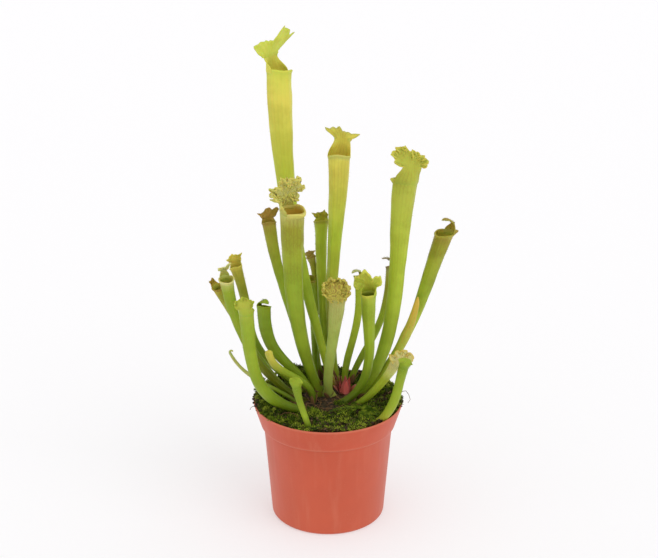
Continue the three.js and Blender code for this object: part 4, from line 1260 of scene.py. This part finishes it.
# Where moss is thickest. greenPatch is over 0 in moss, and below it where bare peat shows.
green = {"spots": [(-40, 12, 18), (44, 8, 16), (0, -40, 14)], "lush": 0.35, "scale": 0.09,
         "depth": 1.3, "base": 0.1}


def greenPatch(x, y):
    lush = sum(math.exp(-((x - cx) ** 2 + (y - cy) ** 2) / size ** 2)
               for cx, cy, size in green["spots"])
    cloud = noise.noise(Vector((x, y, 4)) * green["scale"]) * green["depth"]
    return cloud + green["base"] + green["lush"] * lush


def makeTufts():
    rng = random.Random(11)
    taken = []
    sprig = sprigMesh("sprig", tufts["whorls"], tufts["length"], tufts["thickness"])

    def nearFront(x, y):
        near = math.hypot(x - 2, y + 42) < rng.uniform(8, 46)
        return near and greenPatch(x, y) > rng.uniform(0, 0.4)

    def anywhere(x, y):
        return greenPatch(x, y) > rng.uniform(-0.2, 0.3)

    bright = startShape()
    scatter(bright, sprig, tuftPlaces(rng, tufts["front"], nearFront, tufts["frontSize"], taken))
    scatter(bright, sprig, rimPlaces(rng))
    finishPiece("moss_tufts_front", bright, tuftFinish("moss_bright", "dark", "tip"), slot="moss")
    darker = startShape()
    scatter(darker, sprig, tuftPlaces(rng, tufts["back"], anywhere, tufts["backSize"], taken))
    clumps, tip, (wide, deep) = [], tufts["clumpLean"], tufts["clumpSpread"]
    for x, y in tufts["clumps"]:
        for _ in range(tufts["perClump"]):
            lean = turnBy(rng.uniform(-tip, tip), "X")
            spot = (x + rng.gauss(0, wide), y + rng.gauss(0, deep), moss["level"])
            grow = Matrix.Scale(rng.uniform(*tufts["clumpSize"]), 4)
            clumps.append(Matrix.Translation(spot) @ lean @ grow)
    scatter(darker, sprig, clumps)
    finishPiece("moss_tufts_back", darker, tuftFinish("moss_deep", "soil", "bright"), slot="moss")
    bpy.data.meshes.remove(sprig)


def rimPlaces(rng):
    places = []
    for first, last, count, top in tufts["overRim"]:
        for _ in range(count):
            turn = math.radians(rng.uniform(first, last))
            radius = rng.uniform(*tufts["rimRadii"])
            spot = polar(radius, turn, rng.uniform(tufts["rimFrom"], top))
            lean = turnBy(turn, "Z") @ turnBy(rng.uniform(0, tufts["rimLean"]), "Y")
            grow = Matrix.Scale(rng.uniform(*tufts["rimSize"]), 4)
            places.append(Matrix.Translation(spot) @ lean @ grow)
    return places


# Crumbs of peat and bits of bark lie between the tufts and on the heaps at the rim.
crumbs = {
    "count": 1500, "size": (0.4, 1.4), "flat": 0.6, "edgeGap": 0.5, "lift": 0.2,
    "share": 0.3, "heapShare": 0.2, "rimInset": 2.6, "rimSpread": 1.5, "reach": 60.2,
    "colour": paint(58, 42, 28), "pale": paint(156, 122, 88),
    # Heaps on the rim: compass angle, how far they spread, how high they pile, and how many.
    "heaps": [(181, 26, 6, 260), (-5, 9, 2.5, 90), (114, 18, 6, 150), (62, 10, 2, 60),
              (34, 13, 5, 130)],
}


def crumbMesh():
    bead = startShape()
    bmesh.ops.create_icosphere(bead, subdivisions=1, radius=1)
    for corner in bead.verts:
        corner.co *= 1 + 0.4 * noise.noise(corner.co * 2.3)
    return meshFrom(bead, "crumb")


def crumbPlace(rng, x, y, height):
    size = rng.uniform(*crumbs["size"])
    turn = turnBy(rng.uniform(0, fullTurn), Vector((x, y, 30)).normalized())
    stretch = Matrix.Diagonal((size, size * rng.uniform(0.5, 1), size * crumbs["flat"], 1))
    return Matrix.Translation((x, y, height)) @ turn @ stretch


def makeCrumbs():
    rng = random.Random(23)
    shape = startShape()
    mesh = crumbMesh()
    places = []
    outer = potInside(moss["level"]) - crumbs["edgeGap"]
    while len(places) < crumbs["count"]:
        x, y = rng.uniform(-outer, outer), rng.uniform(-outer, outer)
        heap = mossHeight(x, y) - moss["level"]
        chance = crumbs["share"] + heap * crumbs["heapShare"]
        if math.hypot(x, y) > outer or rng.uniform(0, 1) > chance:
            continue
        places.append(crumbPlace(rng, x, y, groundAt(x, y) + crumbs["lift"]))
    for angle, spread, pile, count in crumbs["heaps"]:
        for _ in range(count):
            turn = math.radians(rng.gauss(angle, spread / 2))
            off = rng.gauss(0, 1)
            radius = pot["rimRadius"] - crumbs["rimInset"] + off * crumbs["rimSpread"]
            radius = min(radius, crumbs["reach"])
            edge = 1 - min(abs(math.degrees(turn) - angle) / spread, 1)
            height = pot["height"] + rng.uniform(0, pile) * edge * math.exp(-off * off / 2)
            x, y = radius * math.cos(turn), radius * math.sin(turn)
            places.append(crumbPlace(rng, x, y, height))
    scatter(shape, mesh, places)
    bpy.data.meshes.remove(mesh)
    finishPiece("peat_crumbs", shape, crumbFinish(), slot="peat")


def crumbFinish():
    finish, tree = startFinish("peat_crumb")
    place = objectPlace(tree)
    light = remap(tree, noiseOf(tree, place, 260.0), 0.52, 0.72)
    base = blendColour(tree, light, crumbs["colour"], crumbs["pale"])
    return coat(finish, base, 0.95, bumpOf(tree, noiseOf(tree, place, 1500.0), 0.6, 0.0004))


def makeCrown():
    rings = crown["rings"]

    def place(turn, row):
        share = min(row / rings, 1) if row <= rings + 1 else 0
        x = crown["x"] + crown["halfWidth"] * share * math.cos(turn)
        y = crown["y"] + crown["halfDepth"] * share * math.sin(turn)
        return Vector((x, y, crownHeight(x, y) if row <= rings else bedFoot))

    stem = closedShape(crown["sides"], rings + 2, place)
    finishPiece("creeping_stem", stem, barkFinish(), "rhizome", "rhizome_skin")


def barkFinish():
    finish, tree = startFinish("stem_bark")
    place = objectPlace(tree)
    grain = noiseOf(tree, place, 500.0, 4.0)
    base = blendColour(tree, remap(tree, grain, 0.35, 0.7), mossLook["soil"], tones["bark"])
    green = useGroup(tree, mottle, Scale=60.0, Low=0.52, High=0.62)["Mask"]
    base = blendColour(tree, times(tree, green, 0.7), base, mossLook["dark"])
    flakes = maths(tree, "ADD", cellsOf(tree, place, 300.0), grain)
    return coat(finish, base, 0.85, bumpOf(tree, flakes, 0.8, 0.001))


# Potting peat under the moss; only the drain holes show it. Each level: the pot's inner radius
# there and its height.
peat = {
    "sides": 72,
    "levels": [
        (pot["baseRadius"] - pot["baseCorner"], pot["floor"] + seatGap),
        (pot["baseRadius"] - pot["wall"], pot["baseCorner"] + seatGap),
        (pot["bodyTopRadius"] - pot["wall"], shoulderFoot + 0.5),
        (potInside(shoulderTop), shoulderTop + 0.8),
        (potInside(moss["peatTop"]), moss["peatTop"]),
    ],
}


def makePeat():
    levels = peat["levels"]

    def place(turn, row):
        radius, height = levels[min(max(row - 1, 0), len(levels) - 1)]
        return polar(0 if row in (0, len(levels) + 1) else radius - seatGap, turn, height)

    plugShape = closedShape(peat["sides"], len(levels) + 1, place)
    finishPiece("potting_peat", plugShape, bpy.data.materials["peat_crumb"], "peat_plug", "peat")


# The red bud at the crown, with petals and darker scales round its foot.
bud = {
    "x": 14, "y": 17, "foot": 92.5, "radius": 4.2, "height": 20, "rows": 28, "sides": 30,
    "twist": 1.2, "fold": 0.08, "strands": 5, "strandSteps": 6, "strandThick": 0.45,
    # How wide the bud is at shares of its height.
    "outline": [(0, 0.7), (0.15, 0.95), (0.35, 1), (0.55, 0.78), (0.75, 0.4), (0.9, 0.2),
                (1, 0.02)],
    # Each ring: how many, radius, height, width, how far the tips stand off.
    "petals": (3, 4.4, 15, 0.8, 0.05), "scales": (5, 4.9, 8, 0.55, 1.1),
    # Colours at foot and tip.
    "bud_skin": (paint(222, 112, 108), paint(150, 58, 48)),
    "petal_skin": (paint(244, 132, 126), paint(220, 84, 80)),
    "scale_skin": (paint(112, 34, 28), paint(190, 112, 88)),
}


# A veined skin, from one colour at the foot to another at the tip.
def scaleFinish(name, low, high, vein, depth, roughness, relief, **grid):
    finish, tree = startFinish(name)
    lines = useGroup(tree, veins, **grid)
    base = blendColour(tree, maskOf(tree, "tone"), low, high)
    base = blendColour(tree, times(tree, lines["Lines"], depth), base, vein)
    return coat(finish, base, roughness, bumpOf(tree, lines["Height"], relief, 0.0003))


def budFinish(name):
    low, high = bud[name]
    return scaleFinish(name, low, high, low, 0.35, 0.4, 0.4, Count=9, Net=0.3)


def makeBud():
    shape = startShape()
    rows = bud["rows"]
    centre = Vector((bud["x"], bud["y"], bud["foot"]))

    def place(around, row):
        share = row / rows
        turn = fullTurn * around + share * bud["twist"]
        fold = 1 + bud["fold"] * math.cos(3 * turn) * smoothStep(0.2, 0.6, share)
        radius = between(bud["outline"], share) * bud["radius"] * fold if 0 < row < rows else 0
        return centre + polar(radius, turn, share * bud["height"]), share

    wrapGrid(shape, bud["sides"], rows, place)
    finishPiece("red_bud", shape, budFinish("bud_skin"), "bud_red", "bud_red_skin")
    base = centre + Vector((0, 0, 2))
    petals, scales = startShape(), startShape()
    for ring, made in (("petals", petals), ("scales", scales)):
        count, radius, height, width, spread = bud[ring]
        for i in range(count):
            turn = fullTurn * (i + 0.35) / count
            addScale(made, base, turn, radius, height * (1 - 0.2 * (i % 2)), width, spread)
    for i in range(bud["strands"]):
        foot = base + Vector((-1 - i, 1.5, 4))
        points = [foot + Vector((-0.5 * step - 0.25 * i * step, 0.3 * step, 2.4 * step))
                  for step in range(bud["strandSteps"])]
        addStrand(scales, points, bud["strandThick"])
    finishPiece("bud_petals", petals, budFinish("petal_skin"), slot="bud_red_skin")
    finishPiece("bud_scales", scales, budFinish("scale_skin"), slot="bud_red_skin")


scaleSheet = {"rows": 6, "columns": 4, "wall": 0.3}


# A thin pointed scale that wraps part of the way round a stem and stands off at its tip.
def addScale(shape, centre, turn, radius, height, halfAngle, flare, tilt=Matrix.Identity(3)):
    def place(across, row):
        share = row / scaleSheet["rows"]
        width = halfAngle * (1 - share ** 2.2) + 0.02
        angle = turn + width * (2 * across - 1)
        point = polar(radius * (1 + flare * share ** 2), angle, height * share)
        return centre + tilt @ point, share

    addSheet(shape, scaleSheet["columns"], scaleSheet["rows"], scaleSheet["wall"], place)


# Papery brown remains of old leaf bases stand round the foot of each leaf.
sheath = {"perLeaf": 4, "height": (5, 12), "halfAngle": 0.75, "flare": (0.2, 0.9), "sway": 0.5,
          "tip": paint(150, 112, 66), "without": ("shortRight", "shortFront", "leftFront")}


def makeSheaths():
    rng = random.Random(5)
    shape, sway = startShape(), sheath["sway"]
    for name, leaf in leaves.items():
        if name in sheath["without"]:
            continue
        middle, way, _, _ = leafFrames(leaf, [0.04, 1])[0]
        lean = Vector((0, 0, 1)).rotation_difference(way).to_matrix()
        for i in range(sheath["perLeaf"]):
            turn = fullTurn * i / sheath["perLeaf"] + rng.uniform(-sway, sway)
            addScale(shape, middle, turn, leaf["girth"][0] + 0.5 + 0.3 * (i % 2),
                     rng.uniform(*sheath["height"]), sheath["halfAngle"],
                     rng.uniform(*sheath["flare"]), lean)
    finish = scaleFinish("papery_brown", tones["bark"], sheath["tip"], mossLook["soil"],
                         0.5, 0.8, 0.5, Count=7, Net=0.2)
    finishPiece("old_leaf_bases", shape, finish, slot="rhizome_skin")


# A round strand along a line of points, thinner towards its end.
def addStrand(shape, points, radius, sides=5, tone=None):
    path = [Vector(point) for point in points]
    rows = len(path) + 1

    def place(around, row):
        i = min(max(row - 1, 0), len(path) - 1)
        way = (path[min(i + 1, len(path) - 1)] - path[max(i - 1, 0)]).normalized()
        side = way.cross(Vector((0.3, 0.5, 0.81))).normalized()
        up = side.cross(way)
        thin = 0 if row in (0, rows) else radius * (1 - 0.5 * i / len(path))
        turn = -fullTurn * around
        point = path[i] + side * math.cos(turn) * thin + up * math.sin(turn) * thin
        return point, tone or i / len(path), 0.9 if tone else 0

    pointOutwards(shape, wrapGrid(shape, sides, rows, place))


# Dead roots and grass-thin stems across the crown, and two loose ones at the rim.
strands = {
    "count": 34, "across": (-30, 34), "deep": (-24, 40), "length": (8, 22), "arch": (0.8, 4),
    "thick": (0.25, 0.5), "steps": 8, "lift": 0.3, "looseThick": 0.28,
    "loose": [
        [(58, 8, 98), (60, 6, 103), (63, 3, 105), (65, -2, 104), (66, -6, 101.5), (64, -9, 100)],
        [(-56, -16, 99), (-59, -18, 101.5), (-61, -20, 101.5), (-62, -22, 100)],
    ],
}


def makeStrands():
    rng = random.Random(31)
    shape = startShape()
    steps = strands["steps"]
    for _ in range(strands["count"]):
        x, y = rng.uniform(*strands["across"]), rng.uniform(*strands["deep"])
        turn = rng.uniform(0, fullTurn)
        length, arch = rng.uniform(*strands["length"]), rng.uniform(*strands["arch"])
        points = []
        for i in range(steps + 1):
            share = i / steps
            px = x + length * (share - 0.5) * math.cos(turn + share)
            py = y + length * (share - 0.5) * math.sin(turn + share)
            height = groundAt(px, py) + strands["lift"] + arch * math.sin(math.pi * share)
            points.append((px, py, height))
        addStrand(shape, points, rng.uniform(*strands["thick"]))
    for points in strands["loose"]:
        addStrand(shape, points, strands["looseThick"])
    finishPiece("dead_strands", shape, bpy.data.materials["papery_brown"], slot="rhizome_skin")


# Long feathery fronds of moss lie spread out at the front right.
fronds = {"centre": (34, -12), "turns": (185, 300), "count": 9, "length": (20, 36), "steps": 8,
          "pairs": 13, "leaflet": (4.2, 0.7), "leafletTurn": 0.85, "leafletLean": 1.35,
          "sweep": 0.3, "sway": 6, "lift": 1.2, "arch": 1.8, "reach": 57, "thick": 0.5}


def makeFronds():
    rng = random.Random(8)
    shape = startShape()
    (cx, cy), (first, last), sway = (fronds[key] for key in ("centre", "turns", "sway"))
    leaflet = sprigMesh("leaflet", ((1, 0),), *fronds["leaflet"])
    for i in range(fronds["count"]):
        angle = first + (last - first) * i / fronds["count"]
        turn = math.radians(angle + rng.uniform(-sway, sway))
        length = rng.uniform(*fronds["length"])
        points, places = [], []
        for step in range(fronds["steps"] + 1):
            share = step / fronds["steps"]
            x = cx + length * share * math.cos(turn + fronds["sweep"] * share)
            y = cy + length * share * math.sin(turn + fronds["sweep"] * share)
            far = max(math.hypot(x, y) / fronds["reach"], 1)
            x, y = x / far, y / far
            height = mossSurface(x, y) + fronds["lift"] + fronds["arch"] * math.sin(2.6 * share)
            points.append(Vector((x, y, height)))
        addStrand(shape, points, fronds["thick"])
        for pair in range(fronds["pairs"]):
            spot = 1 + 6.9 * pair / fronds["pairs"]
            before, after = points[int(spot)], points[int(spot) + 1]
            ahead = after - before
            heading = math.atan2(ahead.y, ahead.x)
            here = Matrix.Translation(before.lerp(after, spot % 1))
            for hand in (-1, 1):
                side = turnBy(heading + hand * fronds["leafletTurn"], "Z")
                side = side @ turnBy(fronds["leafletLean"], "Y")
                places.append(here @ side @ Matrix.Scale(1.2 - 0.07 * spot, 4))
        scatter(shape, leaflet, places)
    bpy.data.meshes.remove(leaflet)
    finishPiece("moss_fronds", shape, tuftFinish("moss_frond", "middle", "tip"), slot="moss")


placeCamera()
placeStudio()
print("camera and studio placed")
makePot()
print("pot done")
makeMossBed()
makeTufts()
makeCrumbs()
makePeat()
print("moss and peat done")
makeCrown()
makeBud()
for number, (leafName, leaf) in enumerate(leaves.items()):
    makeLeaf(leafName, leaf, number)
print("leaves done")
makeSheaths()
makeStrands()
makeFronds()
print("crown detail done")
